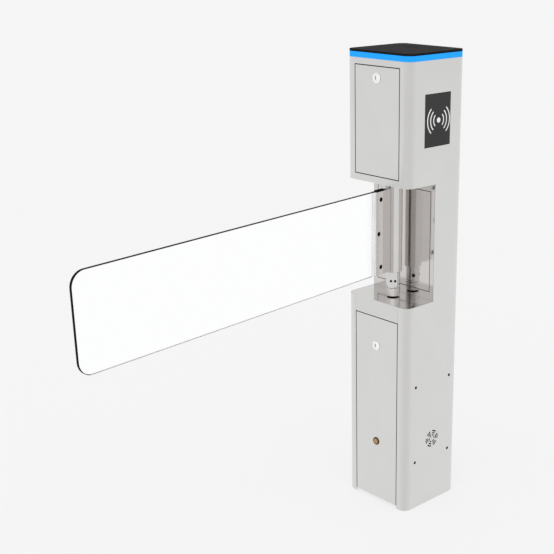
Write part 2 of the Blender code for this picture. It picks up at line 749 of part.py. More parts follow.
def door_frame(name, foot, door_top, overlap, head_lip_x):
    """A three-sided stop behind a door. Its deeper head is what the lock's cam hooks behind."""
    outer = OPENING_HALF_WIDTH + FRAME_SIDE
    inner = DOOR_HALF_WIDTH - STOP_OVERLAP
    head = door_top + FRAME_SIDE + DOOR_GAP / 2
    head_foot = door_top - overlap
    flat = [
        (-outer, foot),
        (-inner, foot),
        (-inner, head_foot),
        (inner, head_foot),
        (inner, foot),
        (outer, foot),
        (outer, head),
        (-outer, head),
    ]
    frame = add_piece(name, moved(slab(flat, FRAME_FACE_X, FRAME_BACK_X), turn=ACROSS_X), "plain_steel")
    side_lip_x = INNER_FRONT_X + SEAT_GAP
    lip_end_x = FRAME_FACE_X + SHEET / 2
    for side in (-1, 1):
        near, far = sorted((side * outer, side * (outer - SHEET)))
        trim(frame, box((side_lip_x, near, foot), (lip_end_x, far, head - SHEET / 2)), "UNION")
    trim(frame, box((head_lip_x, -outer, head - SHEET), (lip_end_x, outer, head)), "UNION")


def door(name, axis, height, tab_x, holes):
    """A door folded from sheet as a shallow tray. Two tongues at its foot turn down into tabs."""
    half = DOOR_HALF_WIDTH - DOOR_GAP / 2
    panel = add_piece(
        name,
        tray((0, -half, 0), (DOOR_TRAY, half, height), SHEET, (1, 0, 0)),
        "satin_steel",
        parent=axis,
    )
    for side in (-1, 1):
        low = side * TAB_SPACING / 2 - TAB_WIDTH / 2
        high = low + TAB_WIDTH
        trim(panel, box((tab_x, low, -TAB_DROP), (tab_x + SHEET, high, SHEET)), "UNION")
        if tab_x > DOOR_TRAY:
            trim(panel, box((DOOR_TRAY / 2, low, 0), (tab_x + SHEET, high, SHEET)), "UNION")
    for radius, at in holes:
        hole = rod(radius + SEAT_GAP, -OVERRUN, SHEET + OVERRUN, ROUND_STEPS)
        trim(panel, moved(hole, (0, 0, at), ACROSS_X))
    return panel


def cam_lock(prefix, door_axis, at_z):
    """A quarter turn lock: a barrel fixed in the door, with a nut, and a plug and cam that turn."""
    along = (0, -math.pi / 2, 0)
    face = SEAT_GAP + LOCK_FACE
    bore = PLUG_RADIUS + SEAT_GAP
    barrel = turned(
        [
            (LOCK_FACE_RADIUS - EDGE_BREAK, face),
            (bore, face),
            (bore, -LOCK_BARREL_LENGTH),
            (LOCK_BARREL_RADIUS, -LOCK_BARREL_LENGTH),
            (LOCK_BARREL_RADIUS, SEAT_GAP),
            (LOCK_FACE_RADIUS, SEAT_GAP),
            (LOCK_FACE_RADIUS, face - EDGE_BREAK),
        ],
        ring=True,
    )
    nut_top = -SHEET - SEAT_GAP
    nut_outline = circle(LOCK_NUT_FLATS / 2 / math.cos(math.pi / NUT_SIDES), steps=NUT_SIDES)
    nut_hole = circle((LOCK_BARREL_RADIUS + bore) / 2, steps=ROUND_STEPS)
    nut = slab(nut_outline, nut_top - LOCK_NUT_HEIGHT, nut_top, [nut_hole])
    barrel = add_piece(f"{prefix}_lock_barrel", barrel, "nickel", (0, 0, at_z), along, door_axis)
    trim(barrel, nut, "UNION")

    axis = add_axis(f"{prefix}_lock_axis", (0, 0, at_z), along, door_axis)
    cam_front = -LOCK_BARREL_LENGTH - SEAT_GAP * 2
    cam_back = cam_front - CAM_THICKNESS
    plug = turned(
        [
            (0, face - SEAT_GAP),
            (PLUG_RADIUS, face - SEAT_GAP),
            (PLUG_RADIUS, -LOCK_BARREL_LENGTH - SEAT_GAP),
            (PLUG_NOSE_RADIUS, -LOCK_BARREL_LENGTH - SEAT_GAP),
            (PLUG_NOSE_RADIUS, cam_back - EDGE_BREAK),
            (0, cam_back - EDGE_BREAK),
        ]
    )
    plug = add_piece(f"{prefix}_lock_plug", plug, "nickel", parent=axis)
    trim(
        plug,
        box(
            (-KEYWAY_HEIGHT / 2, -KEYWAY_WIDTH / 2, face - KEYWAY_DEPTH),
            (KEYWAY_HEIGHT / 2, KEYWAY_WIDTH / 2, face + OVERRUN),
        ),
    )
    outline = arc((0, 0), CAM_HALF_WIDTH, 0, math.pi, CORNER_STEPS)
    tip = (0, -CAM_LENGTH + CAM_TIP_HALF_WIDTH)
    outline += arc(tip, CAM_TIP_HALF_WIDTH, math.pi, 2 * math.pi, CORNER_STEPS)
    nose = circle(PLUG_NOSE_RADIUS + SEAT_GAP)
    cam = slab(outline, cam_back, cam_front, [nose])
    add_piece(f"{prefix}_lock_cam", cam, "plain_steel", parent=axis)


def doors():
    """Both service doors with their stops, locks and sensor."""
    frame_foot = RECESS_TOP + RECESS_PLATE + SEAT_GAP
    behind_shell = INNER_FRONT_X + SEAT_GAP
    door_frame("upper_door_frame", frame_foot, UPPER_DOOR_TOP, STOP_OVERLAP, behind_shell)
    frame_foot = DOOR_FOOT + DOOR_GAP
    behind_apron = FRONT_X + RECESS_PLATE + SEAT_GAP
    door_frame("lower_door_frame", frame_foot, LOWER_DOOR_TOP, LOWER_STRIKE_OVERLAP, behind_apron)
    foot = UPPER_DOOR_FOOT + DOOR_GAP / 2
    height = UPPER_DOOR_HEIGHT - DOOR_GAP
    upper = add_axis("upper_door_axis", (FRONT_X, 0, foot))
    lock_at = UPPER_LOCK_Z - foot
    door("upper_door", upper, height, UPPER_TAB_SETBACK, [(LOCK_BARREL_RADIUS, lock_at)])
    cam_lock("upper", upper, lock_at)

    foot = DOOR_FOOT + DOOR_GAP / 2
    height = LOWER_DOOR_TOP - DOOR_FOOT - DOOR_GAP
    lower = add_axis("lower_door_axis", (FRONT_X, 0, foot))
    lock_at = LOWER_LOCK_Z - foot
    sensor_at = SENSOR_Z - foot
    holes = [(LOCK_BARREL_RADIUS, lock_at), (SENSOR_BARREL_RADIUS, sensor_at)]
    door("lower_door", lower, height, LOWER_TAB_SETBACK, holes)
    cam_lock("lower", lower, lock_at)
    infrared_sensor(lower, sensor_at)


def infrared_sensor(door_axis, at_z):
    """The safety sensor in the lower door: a threaded barrel with a bezel and a crowned lens."""
    along = (0, -math.pi / 2, 0)
    face = SEAT_GAP + SENSOR_FACE
    bore = SENSOR_LENS_RADIUS + SEAT_GAP
    seat = face - SENSOR_LENS_DEPTH - SEAT_GAP
    body = turned(
        [
            (0, seat),
            (bore, seat),
            (bore, face),
            (SENSOR_FACE_RADIUS - EDGE_BREAK, face),
            (SENSOR_FACE_RADIUS, face - EDGE_BREAK),
            (SENSOR_FACE_RADIUS, SEAT_GAP),
            (SENSOR_BARREL_RADIUS, SEAT_GAP),
            (SENSOR_BARREL_RADIUS, -SENSOR_BARREL_LENGTH),
            (0, -SENSOR_BARREL_LENGTH),
        ]
    )
    add_piece("infrared_sensor", body, "bronze_ring", (0, 0, at_z), along, door_axis)
    lens_foot = face - SENSOR_LENS_DEPTH
    lens = turned(
        [
            (0, lens_foot),
            (SENSOR_LENS_RADIUS, lens_foot),
            (SENSOR_LENS_RADIUS, face),
            (SENSOR_LENS_RADIUS / 2, face + SENSOR_LENS_CROWN / 2),
            (0, face + SENSOR_LENS_CROWN),
        ]
    )
    add_piece("sensor_lens", lens, "amber_lens", (0, 0, at_z), along, door_axis)


def head():
    """The light band, its lamp ring and the lid."""
    foot = SHELL_TOP + SEAT_GAP
    top = BAND_TOP - SEAT_GAP
    lip_out = SHEET + SEAT_GAP
    lip_in = lip_out + BAND_LIP_WALL
    lip_foot = SHELL_TOP - BAND_LIP
    band = [
        (0, foot),
        (0, top),
        (BAND_WALL, top),
        (lip_in, lip_foot),
        (lip_out, lip_foot),
        (lip_out, foot),
    ]
    add_piece("light_band", lofted(band, closed=True), "blue_diffuser")
    led_out = BAND_WALL + SEAT_GAP
    led_in = led_out + LED_BOARD
    led = [(led_out, foot), (led_out, foot + LED_HEIGHT), (led_in, foot + LED_HEIGHT), (led_in, foot)]
    add_piece("led_ring", lofted(led, closed=True), "circuit_green")
    rim_out = BAND_WALL + SEAT_GAP
    rim_in = rim_out + LID_RIM_WALL
    rim_foot = BAND_TOP - LID_RIM_DEPTH
    lid = [
        (rim_in, BAND_TOP),
        (rim_in, rim_foot),
        (rim_out, rim_foot),
        (rim_out, BAND_TOP),
        (0, BAND_TOP),
        (0, POST_TOP - LID_EDGE),
        (LID_EDGE, POST_TOP),
    ]
    add_piece("top_lid", lofted(lid, closed=False), "charcoal_lid")


def reader():
    """The flush card reader window and the module behind it."""
    half_width = READER_WIDTH / 2 - SEAT_GAP
    half_height = READER_HEIGHT / 2 - SEAT_GAP
    radii = (READER_CORNER,) * 4
    glass = rounded_rectangle((-half_width, -half_height), (half_width, half_height), radii, COARSE_STEPS)
    at = (READER_X, -HALF_WIDTH, READER_Z)
    add_piece("reader_window", moved(slab(glass, 0, READER_GLASS), turn=ACROSS_Y), "black_glass", at)
    case_half_width = READER_WIDTH / 2 + READER_CASE_MARGIN
    case_half_height = READER_HEIGHT / 2 + READER_CASE_MARGIN
    front = READER_GLASS + SEAT_GAP
    case_low = (-case_half_width, front, -case_half_height)
    case_high = (case_half_width, READER_CASE_DEPTH, case_half_height)
    add_piece("reader_module", box(case_low, case_high), "black_plastic", at)


def speaker():
    """The voice speaker behind the grille."""
    at = (GRILLE_X, -INNER_HALF_WIDTH + SEAT_GAP, GRILLE_Z)
    inward = (-math.pi / 2, 0, 0)
    rim = SPEAKER_RADIUS - SPEAKER_FLANGE
    neck = SPEAKER_DEPTH / 2
    body = turned(
        [
            (0, CONE_DEPTH - CONE_CROWN),
            (CONE_CAP, CONE_DEPTH),
            (rim - SPEAKER_WALL, SPEAKER_FLANGE / 2),
            (rim, 0),
            (SPEAKER_RADIUS, 0),
            (SPEAKER_RADIUS, SPEAKER_FLANGE),
            (rim, SPEAKER_FLANGE),
            (SPEAKER_MAGNET, neck),
            (SPEAKER_MAGNET, SPEAKER_DEPTH),
            (0, SPEAKER_DEPTH),
        ]
    )
    add_piece("speaker", body, "cone_paper", at, inward)


def equipment():
    """The plate held by the four outside screws, and what it carries."""
    places = group_of_screws(SCREW_SPACING_X, SCREW_SPACING_Z)
    at = (SCREW_GROUP_X, 0, SCREW_GROUP_Z)
    foot = -INNER_HALF_WIDTH + SEAT_GAP
    bore = SCREW_SHANK + SEAT_GAP
    half_width = SCREW_SPACING_X / 2 + EQUIPMENT_MARGIN
    half_height = SCREW_SPACING_Z / 2 + EQUIPMENT_MARGIN
    blank = rounded_rectangle((-half_width, -half_height), (half_width, half_height), (0,) * 4)
    plate = add_piece(
        "equipment_plate",
        moved(slab(blank, EQUIPMENT_Y, EQUIPMENT_Y + SHEET), turn=ACROSS_Y),
        "plain_steel",
        at,
    )
    inside = EQUIPMENT_Y + SHEET / 2
    beyond = EQUIPMENT_Y + SHEET + OVERRUN
    standoffs = [moved(rod(STANDOFF_RADIUS, foot, inside), (x, z, 0)) for x, z in places]
    trim(plate, moved(merged(*standoffs), turn=ACROSS_Y), "UNION")
    bores = [moved(rod(bore, foot - OVERRUN, beyond), (x, z, 0)) for x, z in places]
    trim(plate, moved(merged(*bores), turn=ACROSS_Y))
    head = -HALF_WIDTH
    screw = [
        (0, head + SCREW_SOCKET),
        (SCREW_SOCKET, head + SCREW_SOCKET),
        (SCREW_SOCKET, head),
        (SCREW_HEAD, head),
        (SCREW_HEAD, head + SHEET - SEAT_GAP),
        (SCREW_SHANK, head + SHEET - SEAT_GAP),
        (SCREW_SHANK, head + SCREW_LENGTH),
        (0, head + SCREW_LENGTH),
    ]
    for number, (x, z) in enumerate(places, 1):
        place = (SCREW_GROUP_X + x, 0, SCREW_GROUP_Z + z)
        shape = moved(turned(screw, SMALL_STEPS), turn=ACROSS_Y)
        add_piece(f"housing_screw_{number}", shape, "black_steel", place)
    seat = EQUIPMENT_Y + SHEET + SEAT_GAP
    supply_foot = SCREW_GROUP_Z - half_height + SUPPLY_LIFT
    supply = add_piece(
        "power_supply",
        box((-SUPPLY_WIDTH / 2, 0, 0), (SUPPLY_WIDTH / 2, SUPPLY_DEPTH, SUPPLY_HEIGHT)),
        "aluminium",
        (SCREW_GROUP_X, seat, supply_foot),
    )
    slots = []
    for i in range(SUPPLY_SLOTS):
        middle = SUPPLY_WIDTH * ((i + 1) / (SUPPLY_SLOTS + 1) - 1 / 2)
        slots.append(
            box(
                (middle - SUPPLY_SLOT_WIDTH / 2, SUPPLY_DEPTH - SUPPLY_SLOT_DEPTH, SUPPLY_HEIGHT / 4),
                (middle + SUPPLY_SLOT_WIDTH / 2, SUPPLY_DEPTH + OVERRUN, SUPPLY_HEIGHT * 3 / 4),
            )
        )
    trim(supply, merged(*slots))
    terminal_foot = SCREW_GROUP_Z - half_height + TERMINAL_LIFT
    terminals = add_piece(
        "terminal_block",
        box((-TERMINAL_WIDTH / 2, 0, 0), (TERMINAL_WIDTH / 2, TERMINAL_DEPTH, TERMINAL_HEIGHT)),
        "terminal_green",
        (SCREW_GROUP_X, seat, terminal_foot),
    )
    cuts = []
    for i in range(1, TERMINAL_WAYS):
        middle = TERMINAL_WIDTH * (i / TERMINAL_WAYS - 1 / 2)
        cuts.append(
            box(
                (middle - TERMINAL_GROOVE / 2, TERMINAL_DEPTH - TERMINAL_GROOVE_DEPTH, -OVERRUN),
                (middle + TERMINAL_GROOVE / 2, TERMINAL_DEPTH + OVERRUN, TERMINAL_HEIGHT + OVERRUN),
            )
        )
    trim(terminals, merged(*cuts))


def control_board():
    """The controller in the head: a tray on the back wall, the board and its parts."""
    seat = -FRONT_X - SHEET - SEAT_GAP
    low = (-TRAY_DEPTH, -TRAY_WIDTH / 2, -TRAY_HEIGHT / 2)
    high = (0, TRAY_WIDTH / 2, TRAY_HEIGHT / 2)
    holder = tray(low, high, SHEET, (-1, 0, 0))
    add_piece("control_board_tray", holder, "plain_steel", (seat, 0, TRAY_Z))
    back = seat - SHEET - SEAT_GAP - BOARD_STAND
    leg_places = [
        (sy * (BOARD_WIDTH / 2 - BOARD_LEG_INSET), sz * (BOARD_HEIGHT / 2 - BOARD_LEG_INSET))
        for sy in (-1, 1)
        for sz in (-1, 1)
    ]
    half_width = BOARD_WIDTH / 2
    half_height = BOARD_HEIGHT / 2
    board = rounded_rectangle((-half_width, -half_height), (half_width, half_height), (0,) * 4)
    piece = add_piece(
        "control_board",
        moved(slab(board, -BOARD_THICKNESS, 0), turn=ACROSS_X),
        "circuit_green",
        (back, 0, TRAY_Z),
    )
    for y, z in leg_places:
        leg = rod(BOARD_LEG_RADIUS, -BOARD_THICKNESS / 2, BOARD_STAND)
        trim(piece, moved(leg, (0, y, z), ACROSS_X), "UNION")
    root = -BOARD_THICKNESS / 2
    face = -BOARD_THICKNESS
    connector_foot = -half_height + BOARD_LEG_INSET
    parts = []
    for i in range(RELAY_COUNT):
        y = (i - (RELAY_COUNT - 1) / 2) * RELAY_PITCH
        z = half_height - RELAY_DROP
        parts.append(
            box(
                (face - RELAY_SIZE, y - RELAY_SIZE / 2, z - RELAY_SIZE / 2),
                (root, y + RELAY_SIZE / 2, z + RELAY_SIZE / 2),
            )
        )
    parts.append(
        box(
            (face - CONNECTOR_DEPTH, -half_width + CONNECTOR_INSET, connector_foot),
            (root, half_width - CONNECTOR_INSET, connector_foot + CONNECTOR_HEIGHT),
        )
    )
    parts.append(
        box((face - CHIP_THICKNESS, -CHIP_SIZE / 2, -CHIP_SIZE / 2), (root, CHIP_SIZE / 2, CHIP_SIZE / 2))
    )
    for side in (-1, 1):
        can = rod(CAPACITOR_RADIUS, face - CAPACITOR_HEIGHT, root)
        parts.append(moved(can, (0, side * RELAY_PITCH, -CAPACITOR_DROP), ACROSS_X))
    trim(piece, merged(*parts), "UNION")


def bearing(name, low):
    """A bearing's outer ring with its shield. Its inner ring is on the shaft that it carries."""
    ring = tube(BEARING_OUTER, INNER_RING_RADIUS + SEAT_GAP, low, low + BEARING_HEIGHT)
    return add_piece(name, ring, "nickel", (AXIS_X, 0, 0))


def drive_unit():
    """Two plates under the ledge that carry the shaft, the gears and the gearmotor."""
    depth_low = FRONT_X + DRIVE_PLATE_SETBACK
    depth_high = depth_low + DRIVE_PLATE_DEPTH
    seat = circle(BEARING_OUTER + SEAT_GAP, (AXIS_X, 0), ROUND_STEPS)
    radii = (DRIVE_PLATE_CORNER,) * 4

    def plate_outline(width):
        return rounded_rectangle((depth_low, -width / 2), (depth_high, width / 2), radii, COARSE_STEPS)

    top = slab(plate_outline(DRIVE_PLATE_WIDTH), BEARING_PLATE_FOOT, BEARING_PLATE_TOP, [seat])
    add_piece("bearing_plate", top, "aluminium")
    pilot = circle(PILOT_RADIUS + SEAT_GAP, (PINION_X, 0), ROUND_STEPS)
    low = slab(plate_outline(MOTOR_PLATE_WIDTH), MOTOR_PLATE_FOOT, MOTOR_PLATE_TOP, [seat, pilot])
    motor_plate = add_piece("motor_plate", low, "aluminium")
    pillars = [
        moved(
            rod(PILLAR_RADIUS, MOTOR_PLATE_TOP - DRIVE_PLATE / 2, BEARING_PLATE_FOOT - SEAT_GAP),
            (x, side * (MOTOR_PLATE_WIDTH / 2 - PILLAR_INSET), 0),
        )
        for x in (depth_low + PILLAR_INSET, depth_high - PILLAR_INSET)
        for side in (-1, 1)
    ]
    trim(motor_plate, merged(*pillars), "UNION")

    angle_top = BEARING_PLATE_FOOT - SEAT_GAP
    angle_low = angle_top - BRACKET_THICKNESS
    for name, side in (("chassis_bracket_right", -1), ("chassis_bracket_left", 1)):
        wall = side * (INNER_HALF_WIDTH - SEAT_GAP)
        outline = [
            (wall, angle_top),
            (wall - side * BRACKET_LEG, angle_top),
            (wall - side * BRACKET_LEG, angle_low),
            (wall - side * BRACKET_THICKNESS, angle_low),
            (wall - side * BRACKET_THICKNESS, angle_top - BRACKET_LEG),
            (wall, angle_top - BRACKET_LEG),
        ]
        angle = slab(outline, depth_low + PILLAR_INSET, depth_high - PILLAR_INSET)
        add_piece(name, moved(angle, turn=ACROSS_X), "plain_steel")

    bearing("upper_shaft_bearing", UPPER_BEARING_FOOT)
    bearing("lower_shaft_bearing", LOWER_BEARING_FOOT)
    bearing("column_bearing", COLUMN_BEARING_FOOT)
    centre = (AXIS_X, 0, 0)
    block_foot = COLUMN_BLOCK_FOOT
    half = COLUMN_BLOCK_HALF
    outline = rounded_rectangle((-half, -half), (half, half), radii, COARSE_STEPS)
    bore = circle(BEARING_OUTER + SEAT_GAP, steps=ROUND_STEPS)
    block = slab(outline, block_foot, block_foot + DRIVE_PLATE, [bore])
    add_piece("column_bearing_block", block, "aluminium", centre)
    collar = tube(COLLAR_RADIUS, SHAFT_RADIUS + SEAT_GAP, SEAT_GAP, COLLAR_HEIGHT - SEAT_GAP)
    add_piece("floor_collar", collar, "polished_steel", (AXIS_X, 0, LEDGE_LEVEL))


def limit_sensors():
    """Two fork sensors under the bearing plate, straddling the limit disc."""
    disc_middle = GEAR_TOP + DISC_LIFT + DISC_THICKNESS / 2
    slot_low = disc_middle - FORK_SLOT / 2
    top = BEARING_PLATE_FOOT - SEAT_GAP
    inner = DISC_RADIUS - FORK_BITE
    outer = inner + FORK_LENGTH
    back = DISC_RADIUS + FORK_BACK_GAP
    outline = [
        (inner, slot_low - FORK_ARM),
        (outer, slot_low - FORK_ARM),
        (outer, top),
        (inner, top),
        (inner, slot_low + FORK_SLOT),
        (back, slot_low + FORK_SLOT),
        (back, slot_low),
        (inner, slot_low),
    ]
    for name, side in (("limit_sensor_right", -1), ("limit_sensor_left", 1)):
        fork = moved(slab(outline, -FORK_WIDTH / 2, FORK_WIDTH / 2), turn=ACROSS_Y)
        add_piece(name, fork, "black_plastic", (AXIS_X, 0, 0), (0, 0, side * math.pi / 2))


def gear_train(gate):
    """The shaft gear and the motor pinion, in mesh at rest, with the limit disc above."""
    bore = circle(SHAFT_RADIUS + SEAT_GAP, steps=ROUND_STEPS)
    pitch = GEAR_MODULE * GEAR_TEETH / 2
    ring = (GEAR_BOSS_RADIUS + pitch - GEAR_RIM) / 2
    windows = []
    for i in range(GEAR_WINDOWS):
        angle = 2 * math.pi * i / GEAR_WINDOWS
        windows.append(circle(GEAR_WINDOW_RADIUS, (ring * math.cos(angle), ring * math.sin(angle))))
    # A gap between two gear teeth faces the pinion, whose tooth faces back at it.
    facing = -(math.pi + REST_YAW) + math.pi / GEAR_TEETH
    gear = add_piece(
        "main_gear",
        slab(gear_outline(GEAR_TEETH), GEAR_FOOT, GEAR_TOP, [bore, *windows]),
        "plain_steel",
        turn=(0, 0, facing),
        parent=gate,
    )
    boss = tube(GEAR_BOSS_RADIUS, SHAFT_RADIUS + SEAT_GAP, GEAR_TOP - OVERRUN, GEAR_TOP + GEAR_BOSS_HEIGHT)
    trim(gear, boss, "UNION")

    disc_foot = GEAR_TOP + DISC_LIFT
    disc = add_piece(
        "limit_disc",
        slab(circle(DISC_RADIUS, steps=ROUND_STEPS), disc_foot, disc_foot + DISC_THICKNESS, [bore]),
        "black_steel",
        parent=gate,
    )
    sleeve_foot = GEAR_TOP + GEAR_BOSS_HEIGHT + SEAT_GAP
    sleeve = tube(GEAR_BOSS_RADIUS, SHAFT_RADIUS + SEAT_GAP, sleeve_foot, disc_foot + SEAT_GAP)
    trim(disc, sleeve, "UNION")
    notch = box(
        (-DISC_NOTCH_WIDTH / 2, DISC_RADIUS - DISC_NOTCH_DEPTH, disc_foot - OVERRUN),
        (DISC_NOTCH_WIDTH / 2, DISC_RADIUS + OVERRUN, disc_foot + DISC_THICKNESS + OVERRUN),
    )
    trim(disc, notch)

    axis = add_axis("pinion_axis", (PINION_X, 0, 0))
    teeth = slab(gear_outline(PINION_TEETH), GEAR_FOOT, GEAR_TOP)
    pinion = add_piece("drive_pinion", teeth, "plain_steel", parent=axis)
    shaft_foot = MOTOR_PLATE_FOOT + PILOT_HEIGHT
    trim(pinion, rod(OUTPUT_RADIUS, shaft_foot, GEAR_TOP + EDGE_BREAK), "UNION")


def gearmotor():
    """The gearmotor that hangs from the motor plate, with its brake below."""
    top = MOTOR_PLATE_FOOT - SEAT_GAP
    boss = top + PILOT_HEIGHT
    gearbox_foot = top - GEARBOX_HEIGHT
    motor_foot = gearbox_foot - MOTOR_HEIGHT
    profile = [
        (0, motor_foot),
        (MOTOR_RADIUS - MOTOR_EDGE, motor_foot),
        (MOTOR_RADIUS, motor_foot + MOTOR_EDGE),
        (MOTOR_RADIUS, gearbox_foot),
        (GEARBOX_RADIUS, gearbox_foot),
        (GEARBOX_RADIUS, top),
        (PILOT_RADIUS, top),
        (PILOT_RADIUS, boss),
        (0, boss),
    ]
    centre = (PINION_X, 0, 0)
    add_piece("gearmotor", turned(profile), "motor_grey", centre)
    brake_top = motor_foot - SEAT_GAP
    brake_foot = brake_top - BRAKE_HEIGHT
    brake = [
        (0, brake_foot),
        (BRAKE_RADIUS - MOTOR_EDGE, brake_foot),
        (BRAKE_RADIUS, brake_foot + MOTOR_EDGE),
        (BRAKE_RADIUS, brake_top),
        (0, brake_top),
    ]
    add_piece("motor_brake", turned(brake), "black_plastic", centre)


def inner_ring(foot):
    """The step that a bearing's inner ring makes on a shaft's profile."""
    top = foot + BEARING_HEIGHT
    ring = INNER_RING_RADIUS
    return [(SHAFT_RADIUS, foot), (ring, foot), (ring, top), (SHAFT_RADIUS, top)]


def column(gate):
    """The shaft, hub and column tube that turn together. Gives back the tube."""
    shaft_top = TUBE_FOOT - EDGE_BREAK
    shaft_foot = MOTOR_PLATE_FOOT - EDGE_BREAK
    shaft = [(0, shaft_foot), (SHAFT_RADIUS, shaft_foot)]
    for ring_foot in (LOWER_BEARING_FOOT, UPPER_BEARING_FOOT):
        shaft += inner_ring(ring_foot)
    shaft += [(SHAFT_RADIUS, shaft_top), (0, shaft_top)]
    add_piece("drive_shaft", turned(shaft), "nickel", parent=gate)
    bore = SHAFT_RADIUS + SEAT_GAP
    spigot = TUBE_RADIUS - TUBE_WALL - SEAT_GAP
    spigot_top = TUBE_FOOT + SPIGOT_LENGTH
    hub_foot = HUB_FOOT + SEAT_GAP
    bore_top = shaft_top + SEAT_GAP
    hub = add_piece(
        "shaft_hub",
        turned(
            [
                (0, bore_top),
                (bore, bore_top),
                (bore, hub_foot),
                (COLLAR_RADIUS, hub_foot),
                (COLLAR_RADIUS, TUBE_FOOT),
                (spigot, TUBE_FOOT),
                (spigot, spigot_top),
                (0, spigot_top),
            ]
        ),
        "polished_steel",
        parent=gate,
    )
    screw_z = LEDGE_LEVEL + HUB_SCREW_HEIGHT
    for angle in HUB_SCREW_ANGLES:
        turn = Matrix.Rotation(angle, 4, "Z") @ Matrix.Rotation(math.pi / 2, 4, "Y")
        socket = rod(HUB_SCREW_RADIUS, COLLAR_RADIUS - HUB_SOCKET, COLLAR_RADIUS + OVERRUN)
        trim(hub, moved(socket, (0, 0, screw_z), turn))

    tube_foot = TUBE_FOOT + SEAT_GAP
    tube_piece = add_piece(
        "column_tube",
        tube(TUBE_RADIUS, TUBE_RADIUS - TUBE_WALL, tube_foot, TUBE_TOP, TUBE_STEPS),
        "polished_steel",
        parent=gate,
    )
    plug_foot = TUBE_TOP - SPIGOT_LENGTH
    journal_top = COLUMN_BLOCK_FOOT + DRIVE_PLATE + EDGE_BREAK
    journal = [
        (0, plug_foot),
        (spigot, plug_foot),
        (spigot, TUBE_TOP),
        (SHAFT_RADIUS, TUBE_TOP),
        *inner_ring(COLUMN_BEARING_FOOT),
        (SHAFT_RADIUS, journal_top),
        (0, journal_top),
    ]
    add_piece("column_journal", turned(journal), "nickel", parent=gate)
    return tube_piece


def clamp_bolt_places():
    """Where the three clamp bolts pass, as (reach, height). The middle one sits further out."""
    middle = PANEL_FOOT + PANEL_HEIGHT / 2
    return [
        (CLAMP_BOLT_REACH, middle - CLAMP_BOLT_SPACING),
        (CLAMP_BOLT_REACH + CLAMP_BOLT_STEP_OUT, middle),
        (CLAMP_BOLT_REACH, middle + CLAMP_BOLT_SPACING),
    ]


